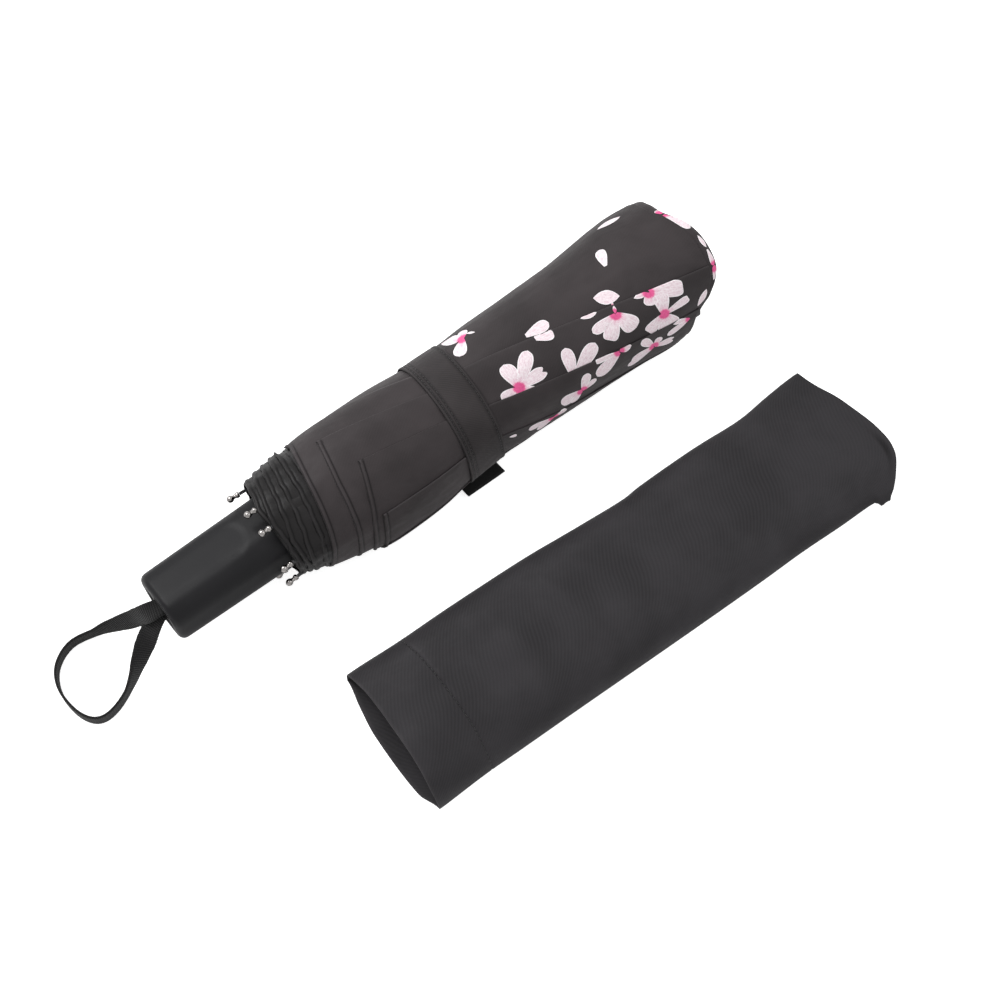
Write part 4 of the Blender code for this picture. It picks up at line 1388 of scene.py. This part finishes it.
def make_sleeve():
    """The flattened bag: an arched upper layer, a lower one on the floor, its inside, and its closed end."""
    rows, coords, rim_highlights, painted_shades = [], [], [], []

    def add(distance, inset):
        share = sleeve_share(distance)
        spots = [sleeve_point(share, i, inset) for i in range(SLEEVE_ROUND)]
        rows.append([Vector((HANDLE_END_X + x * MM, y * MM, z * MM)) for x, y, z in spots])
        coords.append([(distance * MM, i / SLEEVE_ROUND * 0.15) for i in range(SLEEVE_ROUND + 1)])
        # Painted highlight along the mouth's lip.
        rim_highlights.append([0.7 * math.exp(-(distance**2) / 0.3)] * SLEEVE_ROUND)
        # Painted shade in the tuck of the upper layer near the closed end.
        tuck = math.exp(-(((260.0 - distance - 3.4) / 1.2) ** 2))
        painted_shades.append([tuck * math.exp(-(((y + 125.0) / 8.0) ** 2)) if z > 1.0 else 0.0 for _, y, z in spots])

    inner_distances = (
        240.0, 215.0, 190.0, 165.0, 140.0, 115.0, 90.0, 70.0, 50.0, 35.0, 22.0, 12.0, 5.0, 2.0, 0.6,
    )
    for distance in inner_distances:
        add(distance, 0.7)
    add(0.1, 0.55)
    add(-0.1, 0.35)
    add(0.1, 0.1)
    for distance in (0.6, 1.5, 4.0, 8.0, 14.0, 20.0, 25.0, 27.5, 28.6):
        add(distance, 0.0)
    for offset, dip in ((-0.35, 0.0), (-0.12, 0.3), (0.0, 0.34), (0.12, 0.3), (0.35, 0.0)):
        add(SLEEVE_HEM + offset, dip)
    for i in range(80):
        add(31.5 + 223.0 * i / 79, 0.0)
    for distance in (256.0, 257.4, 258.6, 259.5, 260.0):
        add(distance, 0.0)
    made = skin("sleeve_bag", rows, SLEEVE_CLOTH, coords, around=True, marks={"rim": rim_highlights, "painted_shade": painted_shades})
    close_end(made, len(rows))
    return made


def sleeve_stitches():
    """The hem's row of stitches over the upper layer."""
    path = []
    for i in range(SLEEVE_ROUND // 2 + 1):
        x, y, z = sleeve_point(sleeve_share(SLEEVE_HEM), i, 0.0)
        path.append(Vector((HANDLE_END_X + x * MM, y * MM, (z - 0.1) * MM)))
    normals = [Vector((0.0, 0.2, 1.0)).normalized()] * len(path)
    return stitches("sleeve_stitches", path, normals, length=1.7, gap=0.6, radius=0.17)


def close_end(obj, row_count):
    """Joins the last ring's upper half to its lower half, as the seam across the closed end."""
    work = bmesh.new()
    work.from_mesh(obj.data)
    work.verts.ensure_lookup_table()
    ring = [work.verts[(row_count - 1) * SLEEVE_ROUND + i] for i in range(SLEEVE_ROUND)]
    for i in range(SLEEVE_ROUND // 2):
        corners = [ring[i], ring[i + 1], ring[SLEEVE_ROUND - i - 1], ring[(SLEEVE_ROUND - i) % SLEEVE_ROUND]]
        corners = list(dict.fromkeys(corners))
        if len(corners) > 2:
            work.faces.new(corners)
    bmesh.ops.recalc_face_normals(work, faces=work.faces)
    for face in work.faces:
        face.smooth = True
    work.to_mesh(obj.data)
    work.free()


# The stage.

VIEW_BACK = Vector((-0.210, -0.280, 0.937)).normalized()
VIEW_CENTRE = Vector((-0.002, -0.048, 0.029))
VIEW_DISTANCE = 1.04
FLOOR_HALF_SIZE = 14.0
FLOOR_GAP = 0.0002


def make_stage():
    floor = bpy.data.meshes.new("floor")
    size = FLOOR_HALF_SIZE
    low = -FLOOR_GAP
    corners = [(-size, -size, low), (size, -size, low), (size, size, low), (-size, size, low)]
    floor.from_pydata(corners, [], [(0, 1, 2, 3)])
    floor.materials.append(floor_finish())
    ground = bpy.data.objects.new("floor", floor)
    bpy.context.scene.collection.objects.link(ground)
    world = bpy.data.worlds.new("studio")
    world.use_nodes = True
    background = world.node_tree.nodes["Background"]
    background.inputs["Color"].default_value = (1.0, 1.0, 1.0, 1.0)
    background.inputs["Strength"].default_value = 0.78
    bpy.context.scene.world = world
    add_light("key", (-0.35, 0.85, 1.1), 0.9, 14.0)
    add_light("fill", (0.9, -0.6, 1.3), 1.2, 4.0)
    camera = bpy.data.cameras.new("camera")
    camera.lens = 85.0
    camera.sensor_width = 36.0
    camera.clip_start = 0.01
    eye = bpy.data.objects.new("camera", camera)
    eye.location = VIEW_CENTRE + VIEW_BACK * VIEW_DISTANCE
    eye.rotation_euler = VIEW_BACK.to_track_quat("Z", "Y").to_euler()
    bpy.context.scene.collection.objects.link(eye)
    bpy.context.scene.camera = eye
    bpy.context.scene.view_settings.view_transform = "Standard"


def add_light(name, spot, size, power):
    lamp = bpy.data.lights.new(name, "AREA")
    lamp.shape = "DISK"
    lamp.size = size
    lamp.energy = power
    made = bpy.data.objects.new(name, lamp)
    made.location = spot
    made.rotation_euler = (Vector(spot) - VIEW_CENTRE).to_track_quat("Z", "Y").to_euler()
    bpy.context.scene.collection.objects.link(made)


def soft(piece, node=None):
    """A piece of the roll rides on the root and gets its own mesh."""
    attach(piece, "root")
    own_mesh(piece)
    if node:
        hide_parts(node)


def main():
    make_stage()
    finish_cad_nodes()
    upper = make_upper_sheets()
    blossoms = make_blossoms([sheet for sheet, _, _ in upper])
    for piece in blossoms.values():
        soft(piece)
    for number, (sheet, piece, flat) in enumerate(upper + make_lower_sheets(), 1):
        soft(piece, "canopy_roll")
    for piece in make_inner_turns():
        soft(piece, "canopy_roll")
    crown = make_crown()
    soft(crown, "canopy_roll")
    strap = make_strap()
    soft(strap, "closure_strap")
    threads = strap_stitches()
    for piece in threads:
        soft(piece)
    tab = make_tab()
    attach(tab, "strap_tab")
    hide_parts("strap_tab")
    for piece, node, slot in (
        (make_grip(), "handle_grip", "grip_plastic"),
        (make_grip_mouth(), "handle_grip", "grip_plastic"),
        (make_end_cap(), "handle_end_cap", "cap_plastic"),
    ):
        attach(piece, "handle")
        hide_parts(node)
    loop = make_loop()
    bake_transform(loop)
    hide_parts("wrist_loop", "loop_stub")
    bag = make_sleeve()
    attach(bag, "sleeve")
    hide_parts("sleeve")
    thread = sleeve_stitches()
    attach(thread, "sleeve")


main()
